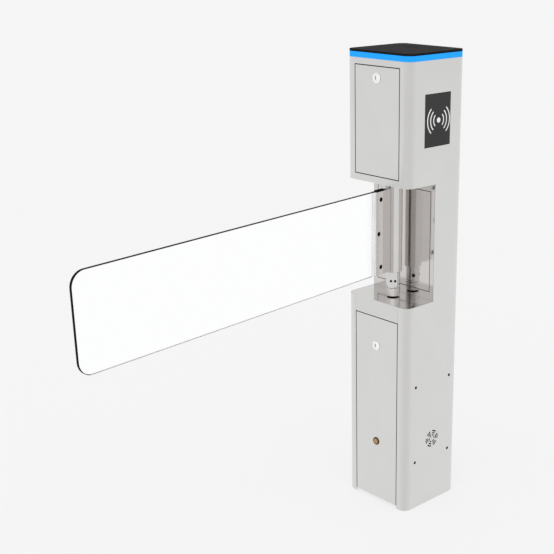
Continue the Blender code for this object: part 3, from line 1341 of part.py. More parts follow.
def wing(gate, tube_piece):
    """The clear panel, and the clamp that grips its root between stepped cheeks.

    The cheeks stand on both sides of a web on the tube, which fills the clamp behind the gasket.
    """
    half = PANEL_THICKNESS / 2
    panel_top = PANEL_FOOT + PANEL_HEIGHT
    places = clamp_bolt_places()
    holes = [circle(CLAMP_BOLT_RADIUS + SEAT_GAP, place) for place in places]
    outline = rounded_rectangle(
        (PANEL_ROOT, PANEL_FOOT),
        (PANEL_REACH, panel_top),
        (PANEL_RADIUS, PANEL_ROOT_RADIUS, PANEL_ROOT_RADIUS, PANEL_RADIUS),
        PANEL_CORNER_STEPS,
    )
    panel = moved(slab(outline, -half, half, holes), turn=ACROSS_Y)
    add_piece("gate_panel", panel, "clear_acrylic", parent=gate)

    foot = PANEL_FOOT + CLAMP_MARGIN
    top = panel_top - CLAMP_MARGIN
    gasket_in = half + SEAT_GAP
    cheek_in = gasket_in + GASKET_THICKNESS + SEAT_GAP
    cheek_out = cheek_in + CHEEK_THICKNESS
    gasket_out = gasket_in + GASKET_THICKNESS
    gasket_root = PANEL_ROOT - SEAT_GAP - GASKET_THICKNESS
    channel = [
        (gasket_root, -gasket_out),
        (GASKET_REACH, -gasket_out),
        (GASKET_REACH, -gasket_in),
        (gasket_root + GASKET_THICKNESS, -gasket_in),
        (gasket_root + GASKET_THICKNESS, gasket_in),
        (GASKET_REACH, gasket_in),
        (GASKET_REACH, gasket_out),
        (gasket_root, gasket_out),
    ]
    gasket = add_piece("clamp_gasket", slab(channel, foot, top), "rubber", parent=gate)
    across = Matrix.Rotation(math.pi / 2, 4, "X")
    passages = []
    for reach, height in places:
        passage = rod(CLAMP_BOLT_RADIUS + SEAT_GAP, -cheek_in, cheek_in, SMALL_STEPS)
        passages.append(moved(passage, (reach, 0, height), across))
    trim(gasket, merged(*passages))
    web_half = cheek_in - SEAT_GAP
    web_root = TUBE_RADIUS - TUBE_WALL / 2
    trim(tube_piece, box((web_root, -web_half, foot), (gasket_root - SEAT_GAP, web_half, top)), "UNION")

    saddle = TUBE_RADIUS + SEAT_GAP
    for name, side in (("clamp_cheek_front", 1), ("clamp_cheek_back", -1)):
        low, high = sorted((side * cheek_in, side * cheek_out))
        radii = (PANEL_ROOT_RADIUS, 0, 0, PANEL_ROOT_RADIUS)
        blank = slab(rounded_rectangle((0, foot), (CLAMP_REACH, top), radii, COARSE_STEPS), low, high)
        cheek = add_piece(name, moved(blank, turn=ACROSS_Y), "polished_steel", parent=gate)
        trim(cheek, rod(saddle, foot - OVERRUN, top + OVERRUN, ROUND_STEPS))
        near, far = sorted((side * (cheek_out - CHEEK_STEP), side * (cheek_out + OVERRUN)))
        trim(cheek, box((-OVERRUN, near, foot - OVERRUN), (CHEEK_STRIP_START, far, top + OVERRUN)))
        sinks = []
        for reach, height in places:
            mouth = CLAMP_HEAD_RADIUS + SEAT_GAP
            neck = CLAMP_BOLT_RADIUS + SEAT_GAP
            profile = [
                (0, cheek_in - OVERRUN),
                (neck, cheek_in - OVERRUN),
                (neck, cheek_in + SEAT_GAP),
                (mouth, cheek_out),
                (mouth, cheek_out + OVERRUN),
                (0, cheek_out + OVERRUN),
            ]
            outward = Matrix.Rotation(-side * math.pi / 2, 4, "X")
            sinks.append(moved(turned(profile, SMALL_STEPS), (reach, 0, height), outward))
        trim(cheek, merged(*sinks))

    neck = cheek_in + SEAT_GAP
    bolt = [
        (0, -cheek_out + CLAMP_SOCKET_DEPTH),
        (CLAMP_SOCKET_RADIUS, -cheek_out + CLAMP_SOCKET_DEPTH),
        (CLAMP_SOCKET_RADIUS, -cheek_out),
        (CLAMP_HEAD_RADIUS, -cheek_out),
        (CLAMP_BOLT_RADIUS, -neck),
        (CLAMP_BOLT_RADIUS, neck),
        (CLAMP_HEAD_RADIUS, cheek_out),
        (CLAMP_SOCKET_RADIUS, cheek_out),
        (CLAMP_SOCKET_RADIUS, cheek_out - CLAMP_SOCKET_DEPTH),
        (0, cheek_out - CLAMP_SOCKET_DEPTH),
    ]
    for number, (reach, height) in enumerate(places, 1):
        shape = moved(turned(bolt, SMALL_STEPS), turn=across)
        add_piece(f"clamp_bolt_{number}", shape, "black_steel", (reach, 0, height), parent=gate)


def build():
    """Builds the whole gate."""
    clear_scene()
    housing()
    recess()
    head()
    reader()
    speaker()
    equipment()
    control_board()
    doors()
    gate = add_axis("gate_axis", (AXIS_X, 0, 0), (0, 0, math.pi + REST_YAW))
    drive_unit()
    limit_sensors()
    gear_train(gate)
    gearmotor()
    wing(gate, column(gate))


build()
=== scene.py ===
"""The finished look of the swing barrier gate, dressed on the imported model.

Metres, +Z up, in the model's frame. Pieces of the gate are drawn from its axis outwards.
"""

import json
import math

import bmesh
import bpy
from mathutils import Matrix


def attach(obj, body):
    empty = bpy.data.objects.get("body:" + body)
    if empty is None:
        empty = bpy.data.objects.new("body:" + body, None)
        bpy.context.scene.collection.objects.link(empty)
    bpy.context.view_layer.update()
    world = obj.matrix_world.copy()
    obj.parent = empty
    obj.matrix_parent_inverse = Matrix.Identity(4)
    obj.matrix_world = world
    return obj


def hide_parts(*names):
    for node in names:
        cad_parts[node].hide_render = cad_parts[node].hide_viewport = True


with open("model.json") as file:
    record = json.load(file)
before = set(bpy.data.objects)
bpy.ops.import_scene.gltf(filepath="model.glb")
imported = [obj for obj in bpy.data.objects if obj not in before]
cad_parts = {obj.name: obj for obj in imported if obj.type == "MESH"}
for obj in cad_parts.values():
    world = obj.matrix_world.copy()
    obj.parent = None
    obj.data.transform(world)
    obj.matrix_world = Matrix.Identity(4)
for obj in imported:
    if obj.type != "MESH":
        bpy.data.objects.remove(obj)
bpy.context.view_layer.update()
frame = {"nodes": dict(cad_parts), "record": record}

MM = 0.001

# Camera, as the photograph was taken
CAMERA_AT = (-1.6835, -1.5961, 1.2214)
CAMERA_TURN = (math.radians(70.06), 0, math.radians(-44.75))
CAMERA_LENS = 71.98
CAMERA_SENSOR = 36.0
CAMERA_SHIFT = (-0.1691, 0.1036)
CAMERA_REACH = 400.0

# Backdrop and light
BACKDROP = 0.913
BACKDROP_REFLECTED = 0.73
BACKDROP_THROUGH_PANEL = 1.0
FLOOR_GLOW = 0.925
FLOOR_GLOW_SHARE = 0.8
FLOOR_SIZE = 160.0
FLOOR_COLOUR = (0.92, 0.92, 0.92)
FLOOR_ROUGHNESS = 0.9
SKY_STRENGTH = 0.82
KEY_STRENGTH = 0.6
KEY_ANGLE = math.radians(80)
KEY_TURN = (math.radians(38), 0, math.radians(-60))
WHITE = (1, 1, 1, 1)

# The post, and what several pieces share
FRONT_X = -83.75 * MM
HALF_WIDTH = 90.0 * MM
AXIS_X = -32.65 * MM
REST_YAW = math.radians(5.4)
LEDGE_LEVEL = 478.5 * MM
SHEET = 1.5 * MM
EDGE_BREAK = 0.6 * MM
FINE_BREAK = 0.3 * MM
SEAT_GAP = 0.3 * MM
# How far a cutter runs past the plate that it cuts
OVERRUN = 3.0 * MM

# The tube, the hub that it stands on, and the collar on the recess floor
TUBE_RADIUS = 18.75 * MM
TUBE_BORE = 17.0 * MM
TUBE_FOOT = 535.3 * MM
TUBE_TOP = 731.5 * MM
SHAFT_BORE = 10.3 * MM
HUB_RADIUS = 15.0 * MM
HUB_FOOT = 499.3 * MM
HUB_TOP = 535.0 * MM
HUB_SPIGOT_TOP = 560.0 * MM
HUB_BORE_TOP = 534.5 * MM
SPIGOT_RADIUS = 16.7 * MM
COLLAR_FOOT = 480.9 * MM
COLLAR_TOP = 498.7 * MM
# The black ring under the collar: a real seal, also standing in as painted shade for the gap under the
# collar
COLLAR_SEAL_RADIUS = 12.4 * MM
COLLAR_SEAL_FOOT = LEDGE_LEVEL + EDGE_BREAK / 10
COLLAR_SEAL_TOP = 480.8 * MM
# Half the angle of the tube's darker band facing the clamp, a painted shade
TUBE_PAINTED_SHADE_HALF = math.radians(40)
# Each set screw of the hub as (angle, radius of its hole)
HUB_SCREWS = ((math.radians(20), 2.9 * MM), (math.radians(55), 2.9 * MM), (math.radians(125), 4.2 * MM))
HUB_SCREW_Z = 515.5 * MM
HUB_HOLE = (HUB_RADIUS - 3.5 * MM, HUB_RADIUS + 2 * MM)
# A set screw's face, the floor of its socket and its end, from the shaft's axis
HUB_SCREW_FACE = HUB_RADIUS - 1.0 * MM
HUB_SCREW_SOCKET = HUB_RADIUS - 2.2 * MM
HUB_SCREW_END = HUB_RADIUS - 4.0 * MM
# The radii of its body and of its socket's floor and mouth, as shares of its hole's
HUB_SCREW_BODY = 0.9
HUB_SOCKET_FLOOR = 0.5
HUB_SOCKET_MOUTH = 0.55

# The clear panel
PANEL_ROOT = 30.0 * MM
PANEL_REACH = 816.8 * MM
PANEL_FOOT = 538.5 * MM
PANEL_TOP = 719.5 * MM
PANEL_HALF = 3.0 * MM
PANEL_RADIUS = 28.0 * MM
PANEL_ROOT_RADIUS = 3.0 * MM
PANEL_CHAMFER = 1.0 * MM
# How high up from the foot the edge takes the painted light
PANEL_UNDER = 1.0 * MM

# The clamp round the panel's root
CLAMP_FACE = 7.6 * MM
CLAMP_INNER_FACE = 7.0 * MM
CLAMP_BACK = 4.6 * MM
CLAMP_SADDLE = 19.05 * MM
CLAMP_STEP_AT = 45.0 * MM
CLAMP_REACH = 68.0 * MM
CLAMP_FOOT = 539.5 * MM
CLAMP_TOP = 718.5 * MM
CLAMP_CORNER = 3.0 * MM
# Each bolt as (reach, height)
CLAMP_BOLTS = ((51.5 * MM, 556.42 * MM), (58.1 * MM, 629.0 * MM), (51.5 * MM, 701.58 * MM))
CLAMP_HEAD_RADIUS = 4.6 * MM
CLAMP_SHANK_RADIUS = 3.0 * MM
CLAMP_SOCKET = 2.0 * MM
CLAMP_SOCKET_DEPTH = 1.6 * MM
CLAMP_NECK = 4.9 * MM
CLAMP_WEB = (17.9 * MM, 28.4 * MM)
CLAMP_WEB_HALF = 4.3 * MM
# The pads, whose white is painted light over the shade between the panel and the plates; the front one
# reaches past the plates
PAD_START = 57.4 * MM
PAD_ENDS = (75.0 * MM, 67.7 * MM)
PAD_FACES = (3.15 * MM, 4.45 * MM)
TOP_SEAL_SPAN = (37.0 * MM, 61.5 * MM)
TOP_SEAL_HALF = 3.0 * MM
TOP_SEAL_HEIGHT = 1.9 * MM

# The seams round the doors and round the flush cover of the recess wall, with black seals that are also
# painted shade in the gaps
WALL_X = -1.65 * MM
COVER_SEAM = 1.5 * MM
DOOR_SEAM = 2.0 * MM
SEAL_INSET = 0.05 * MM
SEAL_THICKNESS = 1.0 * MM
# Each seam as (name, gap, face, depth, half width, foot, top, closed at the foot)
SEAMS = (
    ("recess_cover_seal_and_shade", COVER_SEAM, WALL_X, -0.03 * MM, 78.05 * MM, 496.85 * MM, 716.05 * MM, True),
    ("upper_door_seal_and_shade", DOOR_SEAM, FRONT_X, 0.2 * MM, 63.9 * MM, 747.3 * MM, 971.9 * MM, True),
    ("lower_door_seal_and_shade", DOOR_SEAM, FRONT_X, 0.2 * MM, 63.9 * MM, 7.4 * MM, 442.2 * MM, False),
)

# The card reader in the post's side
READER_AT = (0.5 * MM, 865.2 * MM)
READER_HALF_WIDTH = 38.2 * MM
READER_HALF_HEIGHT = 53.35 * MM
READER_GLASS = 3.0 * MM
READER_CORNER = 1.0 * MM
ICON_SHIFT = (2.9 * MM, -0.8 * MM)
ICON_THICKNESS = 0.15 * MM
ICON_DOT = 5.2 * MM
ICON_STROKE = 2.5 * MM
# Each pair of waves as (radius, half angle)
ICON_ARCS = (
    (15.0 * MM, math.radians(42)),
    (24.0 * MM, math.radians(46.5)),
    (33.0 * MM, math.radians(45.5)),
)

# The cam locks, each as (door, height), with lengths measured from the door's face
LOCKS = (("upper", 947.9 * MM), ("lower", 376.0 * MM))
LOCK_FACE_RADIUS = 10.5 * MM
LOCK_FACE = 2.3 * MM
LOCK_ROUND = 0.9 * MM
# How far the middle of the rounded rim lies inwards and down
LOCK_ROUND_MIDDLE = (0.25 * MM, 0.3 * MM)
LOCK_BARREL_RADIUS = 9.0 * MM
LOCK_BARREL_LENGTH = 10.6 * MM
LOCK_NUT_RADIUS = 12.7 * MM
LOCK_NUT_HOLE = 8.0 * MM
LOCK_NUT = (-5.8 * MM, -1.8 * MM)
PLUG_RADIUS = 6.0 * MM
PLUG_NOSE_RADIUS = 4.0 * MM
PLUG_NOSE_END = -14.0 * MM
KEYWAY_WIDTH = 2.0 * MM
KEYWAY_HEIGHT = 7.0 * MM
KEYWAY_DEPTH = 4.0 * MM
KEYWAY_SHIFT = 1.5 * MM

# The socket screws in the post's side, each as (node, x, z)
SCREW_PLACES = (
    ("housing_screw_1", -52.4 * MM, 113.1 * MM),
    ("housing_screw_2", -52.4 * MM, 293.5 * MM),
    ("housing_screw_3", 55.2 * MM, 113.1 * MM),
    ("housing_screw_4", 55.2 * MM, 293.5 * MM),
)
SCREW_HEAD = 3.45 * MM
SCREW_SOCKET = 1.3 * MM
SCREW_SOCKET_DEPTH = 1.3 * MM
SCREW_SHANK = 1.8 * MM
SCREW_LENGTH = 12.0 * MM

# Fineness of the round shapes
FINE_STEPS = 72
SMALL_STEPS = 32
PANEL_CORNER_STEPS = 16
READER_CORNER_STEPS = 4
CLAMP_CORNER_STEPS = 6
WAVE_STEPS = 20
WAVE_END_STEPS = 6
NUT_SIDES = 6
SHARP_ANGLE = math.radians(32)
# A face whose direction has more than this share across the panel is one of its two flat faces
FLAT_NORMAL = 0.99
WELD = 0.001 * MM

# Grain directions, then how fine each noise is and how much it changes
UPRIGHT = (2600, 2600, 30)
LENGTHWISE = (500, 500, 12)
ROUND_GRAIN = (60, 60, 2600)
EVEN = (1, 1, 1)
NOISE_MIDDLE = (0.3, 0.7)
TONE_STOPS = (0.32, 0.68)
LINE_SCALE = 1.0
LINE_DETAIL = 4.0
CLOUD_DETAIL = 2.0
METAL_CLOUDS = 14.0
MOULDED_CLOUDS = 20.0
MOULDED_SHADES = (0.93, 1.07)
CLEAR_CLOUDS = 9.0
CLEAR_ROUGHNESS_SHARES = (0.6, 1.5)

# The lit band under the lid
BAND_COLOUR = (0.006, 0.10, 0.28)
BAND_GLOW = (0.012, 0.30, 0.86)
BAND_SHADES = (0.97, 1.03)
BAND_STRETCH = (1, 1, 0.2)
BAND_LAMPS = 60.0
BAND_LAMP_DETAIL = 1.0
BAND_ROUGHNESS = (0.45, 0.55)

# The painted shade of the post's flat sides, between the painted light and shade of its corners, and
# where it lies on the ramp
FLAT_SHADE = 1 / 1.06
RAMP_MIDDLE = 0.5

# The recess floor, bright where it faces upward
LEDGE_TOP_COLOUR = (0.86, 0.85, 0.84)
LEDGE_TOP_ROUGHNESS = (0.1, 0.16)
LEDGE_UPWARD = 0.7


def link(tree, source, target):
    """Joins two sockets of a node tree."""
    tree.links.new(source, target)


def finish_of(name, colour, metallic, roughness, sockets=None):
    """A material whose shader starts from these plain values."""
    made = bpy.data.materials.new(name)
    made.use_nodes = True
    shader = made.node_tree.nodes["Principled BSDF"]
    shader.inputs["Base Color"].default_value = (*colour, 1)
    shader.inputs["Metallic"].default_value = metallic
    shader.inputs["Roughness"].default_value = roughness
    for socket, value in (sockets or {}).items():
        shader.inputs[socket].default_value = value
    return made


def grain(made, stretch, scale, detail):
    """A noise in the piece's own coordinates, drawn out along one axis."""
    tree = made.node_tree
    place = tree.nodes.new("ShaderNodeTexCoord")
    mapping = tree.nodes.new("ShaderNodeMapping")
    mapping.inputs["Scale"].default_value = stretch
    noise = tree.nodes.new("ShaderNodeTexNoise")
    noise.inputs["Scale"].default_value = scale
    noise.inputs["Detail"].default_value = detail
    link(tree, place.outputs["Object"], mapping.inputs["Vector"])
    link(tree, mapping.outputs["Vector"], noise.inputs["Vector"])
    return noise.outputs["Fac"]


def spread(made, value, low, high):
    """The noise's middle range, stretched between two values."""
    tree = made.node_tree
    between = tree.nodes.new("ShaderNodeMapRange")
    between.inputs["From Min"].default_value = NOISE_MIDDLE[0]
    between.inputs["From Max"].default_value = NOISE_MIDDLE[1]
    between.inputs["To Min"].default_value = low
    between.inputs["To Max"].default_value = high
    link(tree, value, between.inputs["Value"])
    return between.outputs["Result"]


def vary_roughness(made, value, low, high):
    """Lets the roughness follow a noise."""
    shader = made.node_tree.nodes["Principled BSDF"]
    link(made.node_tree, spread(made, value, low, high), shader.inputs["Roughness"])


def vary_colour(made, value, one, two):
    """Lets the colour follow a noise between two tones."""
    tree = made.node_tree
    ramp = tree.nodes.new("ShaderNodeValToRGB")
    ramp.color_ramp.elements[0].position = TONE_STOPS[0]
    ramp.color_ramp.elements[0].color = (*one, 1)
    ramp.color_ramp.elements[1].position = TONE_STOPS[1]
    ramp.color_ramp.elements[1].color = (*two, 1)
    link(tree, value, ramp.inputs["Fac"])
    link(tree, ramp.outputs["Color"], tree.nodes["Principled BSDF"].inputs["Base Color"])


def relief(made, value, depth):
    """Raises and lowers the surface by a noise."""
    tree = made.node_tree
    bump = tree.nodes.new("ShaderNodeBump")
    bump.inputs["Distance"].default_value = depth
    link(tree, value, bump.inputs["Height"])
    link(tree, bump.outputs["Normal"], tree.nodes["Principled BSDF"].inputs["Normal"])


def shade_of(colour, share):
    """The same colour, lighter or darker."""
    return tuple(min(1.0, part * share) for part in colour)


def brushed(name, colour, rough, stretch, depth=0.004 * MM, contrast=0.03, metallic=1.0):
    """Brushed or ground metal, with its grain along the stretched axis."""
    made = finish_of(name, colour, metallic, rough[0])
    lines = grain(made, stretch, LINE_SCALE, LINE_DETAIL)
    clouds = grain(made, EVEN, METAL_CLOUDS, CLOUD_DETAIL)
    vary_roughness(made, lines, *rough)
    vary_colour(made, clouds, shade_of(colour, 1 - contrast), shade_of(colour, 1 + contrast))
    relief(made, lines, depth)
    return made


def moulded(name, colour, rough, depth, size, metallic=0.0, gloss=None):
    """Painted or moulded surface with a fine even texture. A gloss sets how much it mirrors."""
    sockets = {} if gloss is None else {"Specular IOR Level": gloss}
    made = finish_of(name, colour, metallic, rough[0], sockets)
    fine = grain(made, EVEN, 1 / size, CLOUD_DETAIL)
    clouds = grain(made, EVEN, MOULDED_CLOUDS, CLOUD_DETAIL)
    vary_roughness(made, clouds, *rough)
    darker, lighter = MOULDED_SHADES
    vary_colour(made, clouds, shade_of(colour, darker), shade_of(colour, lighter))
    relief(made, fine, depth)
    return made


def smooth_clear(name, colour, roughness, sockets):
    """A clear plastic whose polish varies very slightly."""
    made = finish_of(name, colour, 0.0, roughness, sockets)
    clouds = grain(made, EVEN, CLEAR_CLOUDS, CLOUD_DETAIL)
    smooth, rough = CLEAR_ROUGHNESS_SHARES
    vary_roughness(made, clouds, roughness * smooth, roughness * rough)
    return made


def light_band_finish():
    """The lit diffuser: an even blue, a little stronger over each lamp behind it."""
    sockets = {"Specular IOR Level": 0.08, "Emission Strength": 1.0}
    made = finish_of("lit_blue", BAND_COLOUR, 0.0, 0.5, sockets)
    tree = made.node_tree
    lamps = grain(made, BAND_STRETCH, BAND_LAMPS, BAND_LAMP_DETAIL)
    ramp = tree.nodes.new("ShaderNodeValToRGB")
    ramp.color_ramp.elements[0].color = (*shade_of(BAND_GLOW, BAND_SHADES[0]), 1)
    ramp.color_ramp.elements[1].color = (*shade_of(BAND_GLOW, BAND_SHADES[1]), 1)
    link(tree, lamps, ramp.inputs["Fac"])
    link(tree, ramp.outputs["Color"], tree.nodes["Principled BSDF"].inputs["Emission Color"])
    vary_roughness(made, lamps, *BAND_ROUGHNESS)
    return made


def paint_corner_light_and_shade(made, lighter, darker):
    """Paints light and shade on the post's rounded corners, by the product of their X and Y directions.
    """
    tree = made.node_tree
    shader = tree.nodes["Principled BSDF"]
    place = tree.nodes.new("ShaderNodeTexCoord")
    parts = tree.nodes.new("ShaderNodeSeparateXYZ")
    link(tree, place.outputs["Normal"], parts.inputs["Vector"])
    product = tree.nodes.new("ShaderNodeMath")
    product.operation = "MULTIPLY"
    link(tree, parts.outputs["X"], product.inputs[0])
    link(tree, parts.outputs["Y"], product.inputs[1])
    shift = tree.nodes.new("ShaderNodeMath")
    shift.inputs[1].default_value = RAMP_MIDDLE
    link(tree, product.outputs["Value"], shift.inputs[0])
    ramp = tree.nodes.new("ShaderNodeValToRGB")
    ramp.color_ramp.elements[0].color = (*lighter, 1)
    ramp.color_ramp.elements[1].color = (*darker, 1)
    ramp.color_ramp.elements.new(RAMP_MIDDLE).color = (FLAT_SHADE, FLAT_SHADE, FLAT_SHADE, 1)
    link(tree, shift.outputs["Value"], ramp.inputs["Fac"])
    multiply = tree.nodes.new("ShaderNodeMixRGB")
    multiply.blend_type = "MULTIPLY"
    multiply.inputs["Fac"].default_value = 1.0
    before = shader.inputs["Base Color"].links[0].from_socket
    link(tree, before, multiply.inputs["Color1"])
    link(tree, ramp.outputs["Color"], multiply.inputs["Color2"])
    link(tree, multiply.outputs["Color"], shader.inputs["Base Color"])
    return made


def ledge_finish():
    """The recess floor: bright on top, and satin like the doors on its turned-down front."""
    made = brushed("ledge_sheet", (0.745, 0.745, 0.735), (0.32, 0.4), UPRIGHT, contrast=0.008)
    tree = made.node_tree
    satin = tree.nodes["Principled BSDF"]
    bright = tree.nodes.new("ShaderNodeBsdfPrincipled")
    bright.inputs["Metallic"].default_value = 1.0
    clouds = grain(made, EVEN, METAL_CLOUDS, CLOUD_DETAIL)
    link(tree, spread(made, clouds, *LEDGE_TOP_ROUGHNESS), bright.inputs["Roughness"])
    bright.inputs["Base Color"].default_value = (*LEDGE_TOP_COLOUR, 1)
    place = tree.nodes.new("ShaderNodeTexCoord")
    parts = tree.nodes.new("ShaderNodeSeparateXYZ")
    upward = tree.nodes.new("ShaderNodeMath")
    upward.operation = "GREATER_THAN"
    upward.inputs[1].default_value = LEDGE_UPWARD
    link(tree, place.outputs["Normal"], parts.inputs["Vector"])
    link(tree, parts.outputs["Z"], upward.inputs[0])
    mix = tree.nodes.new("ShaderNodeMixShader")
    link(tree, upward.outputs["Value"], mix.inputs["Fac"])
    link(tree, satin.outputs["BSDF"], mix.inputs[1])
    link(tree, bright.outputs["BSDF"], mix.inputs[2])
    link(tree, mix.outputs["Shader"], tree.nodes["Material Output"].inputs["Surface"])
    return made


# What each material slot of the part looks like
finishes = {
    # Satin sheet with painted light and shade on the post's rounded corners, lighter or darker by which
    # way each corner faces
    "satin_steel": paint_corner_light_and_shade(
        brushed("satin_sheet_painted_corners", (0.808, 0.808, 0.797), (0.32, 0.4), UPRIGHT, contrast=0.008),
        (0.98, 0.98, 0.98),
        (0.85, 0.84, 0.83),
    ),
    "polished_steel": brushed(
        "polished_sheet", (0.73, 0.712, 0.7), (0.035, 0.06), UPRIGHT, 0.0004 * MM, contrast=0.01
    ),
    "plain_steel": brushed("machined_steel", (0.42, 0.43, 0.44), (0.35, 0.5), LENGTHWISE, 0.008 * MM),
    "charcoal_lid": moulded(
        "charcoal_coat", (0.012, 0.012, 0.0122), (0.5, 0.6), 0.01 * MM, 0.6 * MM, gloss=0.02
    ),
    "blue_diffuser": light_band_finish(),
    "clear_acrylic": smooth_clear(
        "clear_sheet", (0.985, 0.99, 0.99), 0.015, {"Transmission Weight": 1.0, "IOR": 1.49}
    ),
    "black_glass": moulded(
        "black_window", (0.026, 0.026, 0.0262), (0.16, 0.24), 0.0005 * MM, 2.0 * MM, gloss=0.25
    ),
    "black_plastic": moulded("black_moulding", (0.02, 0.02, 0.021), (0.45, 0.6), 0.02 * MM, 0.5 * MM),
    "black_steel": moulded(
        "blackened_steel", (0.004, 0.004, 0.004), (0.5, 0.6), 0.005 * MM, 0.4 * MM, gloss=0.1
    ),
    "nickel": brushed(
        "bright_nickel", (0.985, 0.985, 0.98), (0.12, 0.2), ROUND_GRAIN, 0.001 * MM, contrast=0.01
    ),
    "rubber": moulded("soft_rubber", (0.012, 0.012, 0.012), (0.7, 0.85), 0.03 * MM, 0.5 * MM),
    "circuit_green": moulded("solder_mask", (0.015, 0.13, 0.05), (0.3, 0.45), 0.02 * MM, 1.2 * MM),
    "terminal_green": moulded("green_moulding", (0.04, 0.3, 0.1), (0.4, 0.55), 0.01 * MM, 0.5 * MM),
    "motor_grey": moulded("motor_paint", (0.11, 0.115, 0.12), (0.35, 0.5), 0.02 * MM, 0.7 * MM, 0.3),
    "amber_lens": smooth_clear("amber_plastic", (0.44, 0.28, 0.12), 0.2, {"Specular IOR Level": 0.2}),
    "bronze_ring": moulded(
        "dark_bezel", (0.085, 0.042, 0.012), (0.3, 0.4), 0.002 * MM, 0.5 * MM, gloss=0.1
    ),
    "cone_paper": moulded(
        "paper_cone", (0.008, 0.008, 0.008), (0.75, 0.9), 0.05 * MM, 0.8 * MM, gloss=0.05
    ),
    "aluminium": brushed("milled_aluminium", (0.6, 0.61, 0.62), (0.28, 0.4), LENGTHWISE, 0.006 * MM),
}

# Finishes of single pieces
wall_polish = brushed(
    "wall_polish", (0.66, 0.637, 0.622), (0.09, 0.12), UPRIGHT, 0.0006 * MM, contrast=0.01
)
column_polish = brushed(
    "column_polish",
    (0.69, 0.675, 0.663),
    (0.035, 0.06),
    UPRIGHT,
    0.0004 * MM,
    contrast=0.01,
    metallic=0.88,
)
collar_satin = brushed(
    "collar_satin",
    (0.69, 0.675, 0.663),
    (0.3, 0.36),
    UPRIGHT,
    0.0004 * MM,
    contrast=0.01,
    metallic=0.88,
)
# A darker copy of the tube's polish: painted shade on the band facing the clamp
tube_painted_shade = brushed(
    "tube_painted_shade",
    (0.47, 0.46, 0.45),
    (0.035, 0.06),
    UPRIGHT,
    0.0004 * MM,
    contrast=0.01,
    metallic=0.88,
)
lock_chrome = brushed(
    "lock_chrome",
    (0.985, 0.985, 0.98),
    (0.2, 0.3),
    ROUND_GRAIN,
    0.001 * MM,
    contrast=0.01,
    metallic=0.5,
)
strip_polish = brushed(
    "clamp_strip", (0.9, 0.9, 0.895), (0.1, 0.16), UPRIGHT, 0.0006 * MM, contrast=0.01
)
# Near black for the door frames behind the seams: painted shade, so the gaps round the doors read dark
gap_shadow = moulded("door_gap_painted_shade", (0.015, 0.015, 0.015), (0.6, 0.8), 0.01 * MM, 0.5 * MM)
# Black for the seals and the trim on the panel's top; in the seams and under the collar it is partly a
# real seal, partly painted shade in the gap
black_seal_and_gap_shade = moulded(
    "seam_seal_and_shade", (0.006, 0.006, 0.006), (0.7, 0.85), 0.01 * MM, 0.5 * MM, gloss=0.1
)
# Near white on the clamp pads: painted light over the shade between the panel and the clamp plates
pad_painted_light = moulded("clamp_pad", (0.98, 0.98, 0.98), (0.4, 0.5), 0.002 * MM, 0.5 * MM)
# The panel's edges: pale along the foot as painted light, near black elsewhere as a painted dark
# reflection
panel_underside_light = moulded("panel_underside_painted_light", (0.85, 0.85, 0.85), (0.2, 0.3), 0.002 * MM, 0.6 * MM)
panel_edge_dark_reflection = moulded(
    "panel_edge_dark_reflection", (0.004, 0.004, 0.0045), (0.3, 0.4), 0.002 * MM, 0.6 * MM, gloss=0.04
)
icon_white = moulded("printed_white", (0.96, 0.96, 0.96), (0.4, 0.5), 0.001 * MM, 0.5 * MM)
# Near black inside the keyway: painted shade in the slot
keyway_shade_finish = moulded(
    "keyway_painted_shade", (0.005, 0.005, 0.005), (0.6, 0.8), 0.01 * MM, 0.4 * MM, gloss=0.0
)

own_finishes = {
    "recess_back_wall": wall_polish,
    "recess_cover": wall_polish,
    "ledge_plate": ledge_finish(),
    # The door frames take the painted shade of the gaps
    "upper_door_frame": gap_shadow,
    "lower_door_frame": gap_shadow,
}
for part in frame["record"]["subparts"]:
    name = part["node"]
    for place in frame["nodes"][name].material_slots:
        place.material = own_finishes.get(name, finishes[part["material_slot"]])


def add_piece(name, bm, finish, body, at=None, stands_for=()):
    """Adds a piece to the scene, riding on its body."""
    bmesh.ops.recalc_face_normals(bm, faces=bm.faces)
    mesh = bpy.data.meshes.new(name)
    bm.to_mesh(mesh)
    bm.free()
    mesh.shade_smooth()
    mesh.set_sharp_from_angle(angle=SHARP_ANGLE)
    for material in finish if isinstance(finish, tuple) else (finish,):
        mesh.materials.append(material)
    piece = bpy.data.objects.new(name, mesh)
    if at is not None:
        piece.matrix_world = at
    bpy.context.scene.collection.objects.link(piece)
    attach(piece, body)
    if stands_for:
        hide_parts(*stands_for)
    return piece


def arc(centre, radius, start, end, steps):
    """Points along an arc, both ends included."""
    turns = [start + (end - start) * i / steps for i in range(steps + 1)]
    return [(centre[0] + radius * math.cos(t), centre[1] + radius * math.sin(t)) for t in turns]


def rounded_rectangle(low, high, radii, steps):
    """A rectangle with its own radius at each corner, from the high x, high y corner round."""
    corners = (
        (high[0] - radii[0], high[1] - radii[0], radii[0]),
        (low[0] + radii[1], high[1] - radii[1], radii[1]),
        (low[0] + radii[2], low[1] + radii[2], radii[2]),
        (high[0] - radii[3], low[1] + radii[3], radii[3]),
    )
    points = []
    for quarter, (x, y, radius) in enumerate(corners):
        start = quarter * math.pi / 2
        points += arc((x, y), radius, start, start + math.pi / 2, steps)
    return points


